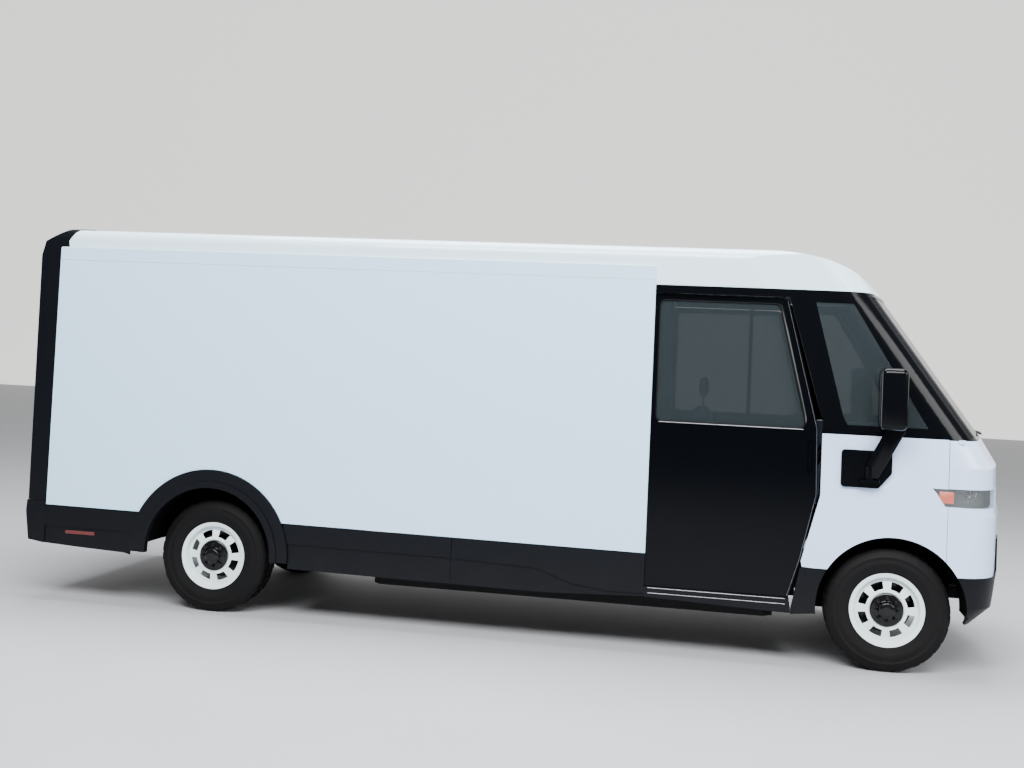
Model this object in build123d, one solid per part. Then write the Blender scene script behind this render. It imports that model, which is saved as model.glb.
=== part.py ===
from build123d import *
import os
from math import cos, pi, radians, sin

# Electric walk-in mail delivery van: +X forward, +Y left, +Z up, origin on the ground at the middle

# Overall sizes
wheelbase = 4660.0
front_overhang = 780.0
rear_overhang = 1435.0
body_width = 2140.0
roof_crown_z = 2750.0
bumper_proud = 6.0
lamp_inset = 1.0
front_axle_x = (wheelbase + rear_overhang - front_overhang - bumper_proud - lamp_inset) / 2
rear_axle_x = front_axle_x - wheelbase
nose_x = front_axle_x + front_overhang
tail_x = rear_axle_x - rear_overhang
half = body_width / 2

# Wheels: 17 inch rims with 245/75 tyres
tyre_r = 400.0
tyre_w = 245.0
rim_lip_r = 237.5
rim_seat_r = 218.0
rim_wall = 6.0
hub_cap_r = 106.0
hub_r = 80.0
wheel_inset = 90.0
hand_holes = 8
axle_fit = 0.05
spindle_r = 30.0
steer_lock = 35.0
kingpin_r = 14.0
wheel_y = half - wheel_inset - tyre_w / 2

# Body walls, gaps and pocket doors
skin_t = 25.0
shut_gap = 5.0
door_t = 45.0
door_travel = 950.0
inner_wall_t = 22.0
glass_t = 6.0
shell_t = 30.0
door_y = half - skin_t - shut_gap
pocket_y = door_y - door_t - 12.0

# Heights
panel_top_z = 2575.0
drip_z = 2486.0
panel_low_z = 680.0
door_low_z = 446.0
door_top_z = 2394.0
belt_z = 1522.0
lamp_low_z = 1090.0
lamp_top_z = 1205.0
bumper_top_z = 645.0
screen_low_z = belt_z + 4
screen_top_z = 2448.0
cargo_floor_z = 720.0
cab_floor_z = 560.0
floor_t = 24.0
riser_t = 60.0
bulkhead_t = 30.0
footwell_y = 470.0
arch_r = 472.0
rear_arch_r = 474.0

# Places along the length, from the axles
door_rear_x = front_axle_x - 1579.0
door_front_x = front_axle_x - 466.0
panel_front_x = front_axle_x - 1565.0
hood_gap_x = front_axle_x + 346.0
bulkhead_x = door_rear_x - 70.0
rear_frame_x = tail_x + 158.0

# Lean of the front faces: how far each level stands behind the nose
hood_lean = 126.0
screen_slope = 687.0 / 932.0


def block(x0, x1, y0, y1, z0, z1):
    """Box between two corners."""
    size = (x1 - x0, y1 - y0, z1 - z0)
    middle = ((x0 + x1) / 2, (y0 + y1) / 2, (z0 + z1) / 2)
    return Pos(*middle) * Box(*size)


def side_slab(points, y0, y1):
    """Side-view outline of (x, z) points, pushed across from y0 to y1."""
    wire = Polyline([Vector(x, y0, z) for x, z in points], close=True)
    return Solid.extrude(Face(Wire(wire.edges())), Vector(0, y1 - y0, 0))


def rounded_slab(points, radius, y0, y1):
    """Side-view outline with rounded corners, pushed across from y0 to y1."""
    wire = FilletPolyline([Vector(x, y0, z) for x, z in points], radius=radius, close=True)
    return Solid.extrude(Face(Wire(wire.edges())), Vector(0, y1 - y0, 0))


def plan_face(inset, z, shift):
    """Plan outline of the body's front, set in by inset and moved back by shift."""
    side = half - inset
    rear = tail_x - 600 - shift
    front = nose_x - inset - shift
    half_plan = [
        (rear, side),
        (front_axle_x - 180 - shift, side),
        (front_axle_x + 635 - inset - shift, side - 50),
        (front, 320.0 - inset * 0.2),
    ]
    right = [Vector(x, -y, z) for x, y in half_plan]
    left = [Vector(x, y, z) for x, y in reversed(half_plan)]
    radii = [0, 2500, 260 - inset, 1400, 1400, 260 - inset, 2500, 0]
    wire = FilletPolyline(right + left, radius=radii, close=True)
    return Face(Wire(wire.edges()))


def leaning(inset, z0, z1, shift0, shift1):
    """Body volume between two levels, leaning back from shift0 to shift1."""
    return Solid.extrude(plan_face(inset, z0, shift0), Vector(shift0 - shift1, 0, z1 - z0))


def skin(z0, z1, shift0, shift1, wall=shell_t, outer=0.0):
    """Wall of the front body between two levels."""
    inside = leaning(outer + wall, z0, z1, shift0, shift1)
    return leaning(outer, z0, z1, shift0, shift1) - inside


def tube_y(x, z, y0, y1, r):
    """Round bar across the vehicle."""
    plane = Plane(origin=(x, y0, z), x_dir=(1, 0, 0), z_dir=(0, 1, 0))
    return Solid.extrude(Face(Wire.make_circle(r, plane)), Vector(0, y1 - y0, 0))


def tube_z(x, y, z0, z1, r):
    """Upright round bar."""
    plane = Plane(origin=(x, y, z0))
    return Solid.extrude(Face(Wire.make_circle(r, plane)), Vector(0, 0, z1 - z0))


def both_sides(solid):
    """The solid and its mirror image on the other side."""
    return [solid, solid.mirror(Plane.XZ)]


def fuse(first, *others):
    """Join touching solids into one."""
    result = first
    for other in others:
        result = result + other
    return result


def save(name, *shapes):
    """Write the solids of one node."""
    solids = []
    for shape in shapes:
        solids.extend(shape.solids())
    export_step(Compound(children=[Solid(s.wrapped) for s in solids]), f"parts/{name}.step")


def screen_shift(z):
    """Lean of the windscreen plane at a level."""
    return hood_lean + (z - belt_z) * screen_slope


# Running gear
rail_y = 370.0
rail_w = 80.0
rail_h = 110.0
front_rail_z = 410.0
rear_rail_z = 530.0
kingpin_y = wheel_y - 130.0
arm_half = 45.0
arm_t = 25.0
axle_tube_r = 58.0
tower_z = 900.0
liner_r = 505.0
liner_t = 5.0
liner_y = 600.0
seat_clear = 0.3
rail_front_x = nose_x - 330.0
kick_x = rear_axle_x + 1100.0


def chassis_frame():
    """Two kicked-up rails joined by cross members."""
    line = [
        (tail_x + 190, rear_rail_z),
        (kick_x - 350, rear_rail_z),
        (kick_x, front_rail_z),
        (rail_front_x, front_rail_z),
    ]
    outline = line + [(x, z + rail_h) for x, z in reversed(line)]
    frame = side_slab(outline, rail_y, rail_y + rail_w)
    frame = fuse(frame, frame.mirror(Plane.XZ))
    rear_bars = [tail_x + 250, rear_axle_x - 620, rear_axle_x + 620]
    front_bars = [front_axle_x - 1900, front_axle_x - 700, rail_front_x - 90]
    for x in rear_bars:
        frame = frame + block(x - 35, x + 35, -rail_y, rail_y, rear_rail_z + 15, rear_rail_z + 95)
    for x in front_bars:
        frame = frame + block(x - 35, x + 35, -rail_y, rail_y, front_rail_z + 15, front_rail_z + 95)
    stay_z = front_rail_z + rail_h
    for x in (front_axle_x - 2250, front_axle_x - 1200):
        for y in (rail_y, -rail_y - rail_w):
            frame = frame + block(x - 40, x + 40, y, y + rail_w, stay_z - 1, cab_floor_z - floor_t)
    return frame


def battery_pack():
    pack = block(kick_x + 40, front_axle_x - 720, -780, 780, 262, front_rail_z)
    return chamfer(pack.edges().filter_by(Axis.Z), 60)


def rear_axle():
    """Beam axle with the drive motor's housing and spindle ends."""
    reach = wheel_y - 92
    beam = tube_y(rear_axle_x, tyre_r, -reach, reach, axle_tube_r)
    beam = fuse(beam, tube_y(rear_axle_x, tyre_r, -170, 170, 150))
    for side in (1, -1):
        ends = sorted((side * (reach - 1), side * (wheel_y + 50)))
        beam = beam + tube_y(rear_axle_x, tyre_r, ends[0], ends[1], spindle_r)
    return beam


def leaf_springs():
    """Two-leaf springs that sit on the beam and reach the rails' underside."""
    seat_z = tyre_r + axle_tube_r + seat_clear
    top = rear_rail_z
    long_leaf = side_slab(
        [
            (rear_axle_x - 640, top),
            (rear_axle_x - 640, top - 16),
            (rear_axle_x - 90, seat_z + 16),
            (rear_axle_x + 90, seat_z + 16),
            (rear_axle_x + 640, top - 16),
            (rear_axle_x + 640, top),
            (rear_axle_x + 560, top),
            (rear_axle_x + 90, seat_z + 34),
            (rear_axle_x - 90, seat_z + 34),
            (rear_axle_x - 560, top),
        ],
        rail_y + 8,
        rail_y + rail_w - 8,
    )
    pad = block(rear_axle_x - 80, rear_axle_x + 80, rail_y + 8, rail_y + rail_w - 8, seat_z, seat_z + 17)
    return both_sides(fuse(long_leaf, pad))


def front_suspension():
    """Cross member, arms, kingpins, struts and towers."""
    low = 290.0
    high = 485.0
    frame = block(front_axle_x - 60, front_axle_x + 60, -560, 560, low, front_rail_z)
    for side in (1, -1):
        inner, outer = sorted((side * 550, side * (kingpin_y + 30)))
        for z in (low, high):
            arm = block(front_axle_x - arm_half, front_axle_x + arm_half, inner, outer, z, z + arm_t)
            frame = frame + arm
        frame = frame + tube_z(front_axle_x, side * kingpin_y, low, high + arm_t, kingpin_r)
        frame = frame + tube_z(front_axle_x, side * 610, high, tower_z, 38)
        y0, y1 = sorted((side * (rail_y + rail_w), side * 470))
        frame = frame + block(front_axle_x - 80, front_axle_x + 80, y0, y1, low + 60, tower_z + 15)
        y0, y1 = sorted((side * 460, side * 660))
        frame = frame + block(front_axle_x - 80, front_axle_x + 80, y0, y1, tower_z - 1, tower_z + 15)
    return frame


def knuckle(side):
    """Upright on the kingpin with the spindle that carries the hub."""
    low = 290.0 + arm_t + 1.0
    high = 485.0 - 1.0
    y0, y1 = sorted((side * (kingpin_y - 34), side * (kingpin_y + 38)))
    upright = block(front_axle_x - 42, front_axle_x + 42, y0, y1, low, high)
    upright = upright - tube_z(front_axle_x, side * kingpin_y, low - 5, high + 5, kingpin_r + axle_fit)
    ends = sorted((side * (kingpin_y + 30), side * (wheel_y + 50)))
    upright = upright + tube_y(front_axle_x, tyre_r, ends[0], ends[1], spindle_r)
    return upright


def ring(points, x, y, side):
    """Turned shape about the wheel's axle from (radius, outboard distance) points."""
    wire = Polyline([Vector(r, side * d, 0) for r, d in points], close=True)
    shape = revolve(Face(Wire(wire.edges())), Axis.Y)
    return Pos(x, y, tyre_r) * shape


def tyre(x, y, side):
    """Hollow tyre with beads that close on the rim."""
    bead = rim_seat_r + seat_clear
    w = tyre_w / 2
    outside = [(bead, 96), (bead + 24, 104), (300, w), (348, w - 4), (tyre_r - 12, w - 18), (tyre_r, w - 34)]
    inside = [(tyre_r - 18, w - 44), (350, w - 18), (300, w - 14), (bead + 26, 88), (bead, 74)]
    points = outside + [(r, -d) for r, d in reversed(outside)]
    points = points + [(r, -d) for r, d in inside[::-1]] + inside
    return ring(points, x, y, side)


def wheel(x, y, side):
    """Steel wheel: barrel with lips and a dished disc with hand holes."""
    seat = rim_seat_r
    barrel = [
        (rim_lip_r, 112),
        (rim_lip_r, 106),
        (seat, 100),
        (seat, -100),
        (rim_lip_r, -106),
        (rim_lip_r, -112),
        (seat - rim_wall, -104),
        (seat - rim_wall, 104),
    ]
    disc = [(seat - rim_wall + 1, 60), (190, 66), (150, 88), (hub_r + 4, 60), (hub_r + 4, 52)]
    disc = disc + [(150, 79), (190, 56), (seat - rim_wall + 1, 50)]
    shape = ring(barrel, x, y, side) + ring(disc, x, y, side)
    for i in range(hand_holes):
        spread = 360 / hand_holes
        hole = Pos(x, y, tyre_r) * Rot(0, (i + 0.5) * spread, 0) * Box(54, 220, 34).translate((171, 0, 0))
        shape = shape - hole
    bridge = ring([(hub_r + 5, 52), (hub_r + 5, 60), (40, 60), (40, 52)], x, y, side)
    return shape + bridge


def hub(x, y, side):
    """Bearing hub on the spindle, brake disc and wheel cap."""
    bore = spindle_r + axle_fit
    body = ring([(bore, -60), (60, -60), (60, 52), (bore, 52)], x, y, side)
    body = body + ring([(bore, -66), (168, -66), (168, -42), (bore, -42)], x, y, side)
    dome = [(62, 88), (hub_cap_r, 90), (hub_cap_r, 100), (92, 112), (58, 118), (54, 138), (0, 138), (0, 88)]
    cap = ring(dome, x, y, side)
    stem = ring([(0, 52), (38, 52), (38, 89), (0, 89)], x, y, side)
    return body + (cap + stem)


def save_running_gear():
    save("chassis_frame", chassis_frame())
    save("battery_pack", battery_pack())
    save("rear_axle", rear_axle())
    save("leaf_springs", *leaf_springs())
    save("front_suspension", front_suspension())
    corners = {
        "front_right": (front_axle_x, -1),
        "front_left": (front_axle_x, 1),
        "rear_right": (rear_axle_x, -1),
        "rear_left": (rear_axle_x, 1),
    }
    for corner, (x, side) in corners.items():
        save(f"tyre_{corner}", tyre(x, side * wheel_y, side))
        save(f"wheel_{corner}", wheel(x, side * wheel_y, side))
        save(f"hub_{corner}", hub(x, side * wheel_y, side))
    save("knuckle_right", knuckle(-1))
    save("knuckle_left", knuckle(1))


# Body shell
roof_side_in = 12.0
roof_t = 22.0
rear_low_z = 723.0
rear_open_y = 958.0
rear_open_top = 2500.0
arch_trim_r = 600.0
arch_band_r = 520.0
arch_flare = 22.0
arch_centre_z = 421.0
seam = 3.0
skirt_t = skin_t
skirt_step = 10.0
floor_y = pocket_y - inner_wall_t
sill_gap = 0.5
travel_room = 20.0
hinge_zs = (1000.0, 1600.0, 2200.0)
hinge_pin_r = 5.0
hinge_x = tail_x + 22.0
hinge_y = 946.0
door_edge_y = 940.0
rear_door_low = cargo_floor_z + 6.0
rear_door_top = rear_open_top - 6.0
plate_x_mm = 177.8
plate_z_mm = 120.65
plate_hole_r = 3.5
plate_z = 570.0

# Levels of the nose wall: height and how far it stands behind the nose
nose_levels = [(645.0, 6.0), (1028.0, 0.0), (lamp_low_z, 12.0), (lamp_top_z, 14.0), (1345.0, 18.0)]
nose_levels.append((belt_z, hood_lean))


def roof_section(x0, x1, inset, low):
    """Prism of the roof's cross section between two stations."""
    side = half - roof_side_in - inset
    top = roof_crown_z - inset
    shoulder = roof_crown_z - 38 - inset
    right = [Vector(x0, -side, low), Vector(x0, -side, shoulder - 8), Vector(x0, -850, shoulder + 14)]
    left = [Vector(v.X, -v.Y, v.Z) for v in reversed(right)]
    points = right + [Vector(x0, 0, top)] + left
    radii = [0, 75, 900, 6000, 900, 75, 0]
    wire = FilletPolyline(points, radius=radii, close=True)
    return Solid.extrude(Face(Wire(wire.edges())), Vector(x1 - x0, 0, 0))


def roof_profile(inset, low):
    """Side-view limits of the roof: rounded down to the windscreen at the front."""
    x = front_axle_x
    line = [
        (rear_frame_x - 300, low),
        (rear_frame_x - 300, roof_crown_z + 40),
        (x - 1120, roof_crown_z + 6 - inset),
        (x - 420, 2668 - inset),
        (x - 90, 2500 - inset),
        (x + 120, low),
    ]
    return rounded_slab(line, [0, 0, 1400, 1100, 0, 0], -half - 20, half + 20)


def screen_block(inset, low, high):
    """Leaning volume behind the windscreen plane."""
    return leaning(inset, low, high, screen_shift(low), screen_shift(high))


def roof():
    low = screen_top_z + 6
    x1 = front_axle_x + 400
    outer = roof_section(rear_frame_x - 200, x1, 0, low) & roof_profile(0, low)
    outer = outer & screen_block(2, low, roof_crown_z + 60)
    inner = roof_section(rear_frame_x - 200, x1, roof_t, low - 5) & roof_profile(roof_t, low - 5)
    inner = inner & screen_block(2 + roof_t, low - 5, roof_crown_z + 60)
    shell = outer - inner
    shell = shell - side_slab(rear_frame_outline(seam), -half - 20, half + 20)
    keep = [(rear_frame_x, low - 9), (x1, low - 9), (x1, 2900), (rear_frame_x, 2900)]
    shell = shell & side_slab(keep, -half - 20, half + 20)
    behind = block(rear_frame_x - 10, panel_front_x, half - skin_t - 1, half + 5, low - 9, panel_top_z)
    for solid in both_sides(behind):
        shell = shell - solid
    rib_x = panel_front_x
    groove = block(rib_x - 1.5, rib_x + 1.5, -half - 5, half + 5, panel_top_z, roof_crown_z + 20)
    skin_only = roof_section(rib_x - 5, rib_x + 5, 2.5, low)
    shell = shell - (groove - skin_only)
    return max(shell.solids(), key=lambda solid: solid.volume)


def rear_frame_outline(grow):
    """Side-view outline of the black surround at the tail."""
    return [
        (rear_frame_x - 1 + grow, rear_low_z),
        (tail_x + 14, rear_low_z),
        (tail_x + 3, 2516),
        (tail_x + 31, 2621),
        (tail_x + 290, 2762),
        (tail_x + 300 + grow, 2762),
        (tail_x + 210 + grow, 2624),
        (tail_x + 219 + grow, 2586 - grow),
        (rear_frame_x - 1 + grow, 2575 - grow),
    ]


def rear_frame():
    """Hoop round the tail with a flat face about the doors and hinge lugs."""
    hoop = roof_section(tail_x - 20, rear_frame_x + 300, -6, rear_low_z)
    hoop = hoop & side_slab(rear_frame_outline(0), -half - 20, half + 20)
    hoop = hoop - roof_section(tail_x + 90, rear_frame_x + 300, 60, rear_low_z - 5)
    hoop = hoop - block(tail_x - 20, rear_frame_x, -rear_open_y, rear_open_y, 700, rear_open_top)
    recess = block(tail_x - 10, tail_x + 20, half - 92, half - 38, 950, 1450)
    for solid in both_sides(recess):
        hoop = hoop - solid
    for z in hinge_zs:
        for solid in hinge_lugs(z):
            hoop = hoop + solid
    return hoop


def hinge_lugs(z):
    """Pins with two lugs a side that carry a rear door's knuckle."""
    pin = tube_z(hinge_x, hinge_y, z - 60, z + 60, hinge_pin_r)
    for z0, z1 in ((z - 60, z - 32), (z + 32, z + 60)):
        pin = pin + tube_z(hinge_x, hinge_y, z0, z1, 8)
        pin = pin + block(hinge_x - 5, hinge_x + 5, hinge_y, rear_open_y + 1, z0, z1)
    return both_sides(pin)


def tail_lamps():
    lamp = block(tail_x + lamp_inset, tail_x + 20, half - 90, half - 40, 952, 1448)
    lamp = chamfer(lamp.faces().sort_by(Axis.X)[0].edges(), 4)
    return both_sides(lamp)


def rear_door(side):
    """Swing door with hinge knuckles, panel frame and window recess."""
    y0, y1 = sorted((side * 2.0, side * door_edge_y))
    door = block(tail_x + 30, tail_x + 72, y0, y1, rear_door_low, rear_door_top)
    y2, y3 = sorted((side * 160.0, side * 800.0))
    door = door - block(tail_x + 20, tail_x + 38, y2, y3, 1720, 2300)
    door = door - block(tail_x + 46, tail_x + 80, y2, y3, 820, 2300)
    for z in hinge_zs:
        y = side * hinge_y
        knuckle_ring = tube_z(hinge_x, y, z - 31, z + 31, 9)
        y4, y5 = sorted((y, side * (door_edge_y - 12)))
        leaf = block(hinge_x - 2, hinge_x + 9, y4, y5, z - 31, z + 31)
        door = door + (knuckle_ring + leaf)
        door = door - tube_z(hinge_x, y, z - 40, z + 40, hinge_pin_r + axle_fit)
        lug_room = tube_z(hinge_x, y, z + 31, z + 62, 9) + tube_z(hinge_x, y, z - 62, z - 31, 9)
        door = door - lug_room
    if side < 0:
        door = door - handle_bar_hole()
    return door


def handle_bar_hole():
    plane = Plane(origin=(tail_x + 20, -70, 1150), x_dir=(0, 1, 0), z_dir=(1, 0, 0))
    return Solid.extrude(Face(Wire.make_circle(8 + axle_fit, plane)), Vector(60, 0, 0))


def rear_door_handle():
    """Lever on a shaft through the right rear door."""
    plane = Plane(origin=(tail_x + 6, -70, 1150), x_dir=(0, 1, 0), z_dir=(1, 0, 0))
    shaft = Solid.extrude(Face(Wire.make_circle(8, plane)), Vector(36, 0, 0))
    rose = Solid.extrude(Face(Wire.make_circle(20, plane)), Vector(23.7, 0, 0))
    lever = block(tail_x + 6, tail_x + 22, -82, -58, 1010, 1150)
    lever = fillet(lever.edges().filter_by(Axis.Z), 6)
    return fuse(shaft, rose, lever)


def side_panels():
    x0, x1 = rear_frame_x + seam, panel_front_x
    outline = [(x0, panel_low_z + 14), (x0, panel_top_z), (x1, panel_top_z), (x1, panel_low_z - 14)]
    panel = side_slab(outline, half - skin_t, half)
    panel = panel - tube_y(rear_axle_x, arch_centre_z, half - 100, half + 50, arch_trim_r + seam)
    panel = panel - block(x0 - 5, x1 + 5, half - 3, half + 5, drip_z - 1.5, drip_z + 1.5)
    return both_sides(panel)


def inner_walls():
    back = door_rear_x - door_travel - travel_room
    x0, x1 = rear_frame_x + 1, panel_front_x
    low = door_low_z - 6
    base = cargo_floor_z - floor_t
    top = screen_top_z
    outline = [(x0, base), (x0, top), (x1, top), (x1, low), (back, low), (back, base)]
    wall = side_slab(outline, floor_y, pocket_y)
    wall = wall - tube_y(rear_axle_x, tyre_r, floor_y - 5, pocket_y + 5, liner_r + 0.5)
    spacers = [rear_frame_x + 60, rear_frame_x + 620, rear_axle_x + 700, back - 40]
    for x in spacers:
        post = block(x - 20, x + 20, pocket_y - 1, half - skin_t, base + 40, top)
        post = post - tube_y(rear_axle_x, tyre_r, floor_y - 5, half + 5, arch_trim_r + 10)
        wall = wall + post
    return both_sides(wall)


def floors():
    cargo_front = bulkhead_x - bulkhead_t - seat_clear
    cargo = block(rear_frame_x, cargo_front, -floor_y, floor_y, cargo_floor_z - floor_t, cargo_floor_z)
    for y0, y1 in ((liner_y - 0.5, floor_y + 5), (-floor_y - 5, 0.5 - liner_y)):
        cargo = cargo - tube_y(rear_axle_x, tyre_r, y0, y1, liner_r + 0.5)
    sides = (-floor_y, floor_y)
    cab_front = front_axle_x - 520
    toe_x = front_axle_x - 131
    cab = block(bulkhead_x - riser_t, cab_front, *sides, cab_floor_z - floor_t, cab_floor_z)
    middle = block(cab_front, toe_x, -footwell_y, footwell_y, cab_floor_z - floor_t, cab_floor_z)
    riser = block(bulkhead_x - riser_t, bulkhead_x, *sides, cab_floor_z, cargo_floor_z - floor_t)
    toe = side_slab(
        [
            (toe_x, cab_floor_z - floor_t),
            (front_axle_x + 200, 860),
            (front_axle_x + 200, 884),
            (toe_x, cab_floor_z),
        ],
        -445,
        445,
    )
    return [cargo, cab, middle, riser, toe]


def bulkhead():
    low = cargo_floor_z - floor_t
    wall = block(bulkhead_x - bulkhead_t, bulkhead_x, -floor_y + 1, floor_y - 1, low, screen_top_z)
    return wall - block(bulkhead_x - 40, bulkhead_x + 10, -330, 330, cargo_floor_z + 10, 2280)


def bulkhead_door():
    door = block(bulkhead_x + 3, bulkhead_x + 28, -345, 345, cargo_floor_z + 4, 2300)
    rail = block(bulkhead_x + 0.3, bulkhead_x + 28, -345, 345, 2298, 2330)
    pull = block(bulkhead_x + 27, bulkhead_x + 48, 270, 300, 1150, 1450)
    window = block(bulkhead_x, bulkhead_x + 20, -200, 200, 1550, 2050)
    return fuse(door, rail, pull) - window


def wheel_liners():
    shapes = []
    for x, y0, plate in ((rear_axle_x, liner_y, True), (front_axle_x, 660.0 + seat_clear, False)):
        y1 = door_y if plate else half - 95
        shell = tube_y(x, tyre_r, y0, y1, liner_r)
        shell = shell - tube_y(x, tyre_r, y0 + (liner_t if plate else -5), y1 + 2, liner_r - liner_t)
        low = tyre_r + 66 if plate else lamp_low_z - 400
        shell = shell - block(x - 600, x + 600, y0 - 5, door_y + 5, -200, low)
        shapes.extend(both_sides(shell))
    return shapes


def arch_trims():
    x, z = rear_axle_x, arch_centre_z
    y0 = half - skin_t - 5
    band = tube_y(x, z, y0, half + arch_flare, arch_band_r) + tube_y(x, z, y0, half + 12, arch_trim_r)
    band = band - tube_y(x, z, y0 - 5, half + 60, rear_arch_r)
    band = band - block(x - 700, x + 700, y0 - 5, half + 60, -300, z - 15)
    return both_sides(band)


def side_skirts():
    """Rear and middle skirts with their crease, sills and corner cladding."""
    y0, y1 = half - skirt_t, half
    rear = [
        (rear_frame_x + 1, panel_low_z + 10),
        (rear_frame_x + 1, 415),
        (rear_axle_x - 1005, 401),
        (rear_axle_x - 643, 387),
        (rear_axle_x - 470, 345),
        (rear_axle_x, 345),
        (rear_axle_x, panel_low_z - 10),
    ]
    x0 = rear_axle_x + 560
    x1 = panel_front_x
    middle = [
        (x0, panel_low_z - 4),
        (x0 - 30, 367),
        (x1 - 900, 353),
        (x1 - 650, 353),
        (x1, 380),
        (x1, panel_low_z - 17),
    ]
    crease = [
        (x0 - 60, 541),
        (x1 - 1320, 534),
        (x1 - 720, 512),
        (x1 - 489, 430),
        (x1 - 247, 398),
        (x1 + 5, 403),
        (x1 + 5, 300),
        (x0 - 60, 300),
    ]
    arch = tube_y(rear_axle_x, arch_centre_z, y0 - 50, y1 + 50, arch_trim_r + 1)
    rear_skirt = side_slab(rear, y0, y1) - arch
    rear_crease = [(rear_frame_x - 5, 540), (rear_axle_x, 540), (rear_axle_x, 300), (rear_frame_x - 5, 300)]
    rear_skirt = rear_skirt - side_slab(rear_crease, y1 - skirt_step, y1 + 5)
    mark_x = rear_frame_x + 166
    rear_skirt = rear_skirt - block(mark_x, mark_x + 230, y1 - 18, y1 + 5, 492, 517)
    middle_skirt = side_slab(middle, y0, y1) - arch
    middle_skirt = middle_skirt - side_slab(crease, y1 - skirt_step, y1 + 5)
    seam_x = x1 - 1320
    middle_skirt = middle_skirt - block(seam_x - 2, seam_x + 2, y1 - 14, y1 + 5, 300, panel_low_z - 4)
    sill = [
        (x1 + 0.5, 380),
        (x1 + 0.5, door_low_z - sill_gap),
        (front_axle_x - 625, door_low_z - sill_gap),
        (front_axle_x - 611.5, 352),
        (front_axle_x - 700, 352),
    ]
    sill_bar = side_slab(sill, pocket_y + 4, y1 - 2)
    corner = [
        (front_axle_x - 562, 648),
        (front_axle_x - 611, 384),
        (front_axle_x - 611, 345),
        (front_axle_x - 484, 358),
        (front_axle_x - 300, 358),
        (front_axle_x - 300, 648),
    ]
    cladding = side_slab(corner, y0 - 4, y1)
    cladding = cladding - tube_y(front_axle_x + 15, 408, y0 - 50, y1 + 50, arch_r)
    shapes = []
    for solid in (rear_skirt, middle_skirt, sill_bar, cladding):
        shapes.extend(both_sides(solid))
    return shapes


def marker_lamps():
    mark_x = rear_frame_x + 166
    lamp = block(mark_x + 0.5, mark_x + 229.5, half - 18, half - 6, 492.5, 516.5)
    return both_sides(lamp)


def rear_bumper():
    """Hollow step bumper with the plate's four holes."""
    outline = [
        (rear_frame_x, rear_low_z - seam),
        (tail_x + 8, rear_low_z - seam),
        (tail_x + 2, 640),
        (tail_x + 32, 433),
        (rear_frame_x, 415),
    ]
    bar = side_slab(outline, -half, half)
    bar = bar - block(tail_x + 90, rear_frame_x + 5, -half + skin_t, half - skin_t, 300, rear_low_z - 40)
    bar = bar - block(tail_x - 20, tail_x + 60, -270, 270, 470, 670)
    for y in (-plate_x_mm / 2, plate_x_mm / 2):
        for z in (plate_z - plate_z_mm / 2, plate_z + plate_z_mm / 2):
            plane = Plane(origin=(tail_x + 50, y, z), x_dir=(0, 1, 0), z_dir=(1, 0, 0))
            hole = Solid.extrude(Face(Wire.make_circle(plate_hole_r, plane)), Vector(60, 0, 0))
            bar = bar - hole
    return bar


# Cab
door_lean_top_x = front_axle_x - 690.0
hood_half = 760.0
hood_gap = 4.0
hood_low_z = lamp_top_z + 6
hood_top_z = belt_z - 4
hood_t = 20.0
hood_hinge_z = hood_top_z - 100.0
hood_hinge_x = nose_x - hood_lean - 26.0
hood_pin_r = 8.0
grille_y = 560.0
screen_y = 930.0
frame_t = 38.0
mirror_y = half + 55.0
mirror_pivot_x = front_axle_x - 150.0
mirror_pivot_r = 16.0
fit = 0.3


def shift_at(z):
    """How far the nose stands back at a level."""
    for (z0, s0), (z1, s1) in zip(nose_levels, nose_levels[1:]):
        if z0 <= z <= z1:
            return s0 + (s1 - s0) * (z - z0) / (z1 - z0)
    raise ValueError(z)


def nose_wall(z0, z1, wall=shell_t, outer=0.0):
    """Wall of the nose between two levels that may span several leans."""
    stops = [z0] + [z for z, _ in nose_levels if z0 + 1 < z < z1 - 1] + [z1]
    shape = None
    for low, high in zip(stops, stops[1:]):
        part = skin(low, high, shift_at(low), shift_at(high), wall, outer)
        shape = part if shape is None else shape + part
    return shape


def door_outline(grow=0.0):
    """Side view of the cab door, grown by a gap."""
    x = front_axle_x
    g = grow
    return [
        (door_rear_x - g, door_low_z - g),
        (door_rear_x - g, door_top_z + g),
        (door_lean_top_x + g, door_top_z + g),
        (x - 474 + g, 1552.0),
        (door_front_x + g, 1120.0),
        (x - 560 + g, 690.0),
        (x - 630 + g, door_low_z - g),
    ]


def door_corner_radii():
    return [0, 30, 60, 500, 900, 500, 20]


def door_slab(grow, y0, y1):
    """Cab door outline as a slab."""
    return rounded_slab(door_outline(grow), door_corner_radii(), y0, y1)


def glass_outline(grow):
    x = front_axle_x
    g = grow
    return [
        (door_rear_x + 45 - g, 1545 - g),
        (door_rear_x + 45 - g, 2356 + g),
        (x - 731 + g, 2356 + g),
        (x - 533 + g, 1545 - g),
    ]


def cab_door(side):
    """Pocket door: panel with a window opening and a pull in its front stile."""
    door = door_slab(0, door_y - door_t, door_y)
    window = rounded_slab(glass_outline(0), [30, 30, 30, 60], door_y - door_t - 5, door_y + 5)
    door = door - window
    dish = block(door_rear_x + 70, front_axle_x - 620, door_y - door_t - 5, door_y - 12, 620, 1420)
    door = door - dish
    x = front_axle_x - 553
    grip = block(x + 14, x + 50, door_y - 16, door_y + 5, 1262, 1470)
    grip = fillet(grip.edges().filter_by(Axis.Y), 12)
    door = door - grip
    bar = block(x + 22, x + 42, door_y - 17, door_y - 4, 1290, 1440)
    door = door + bar
    return door if side > 0 else door.mirror(Plane.XZ)


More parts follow.
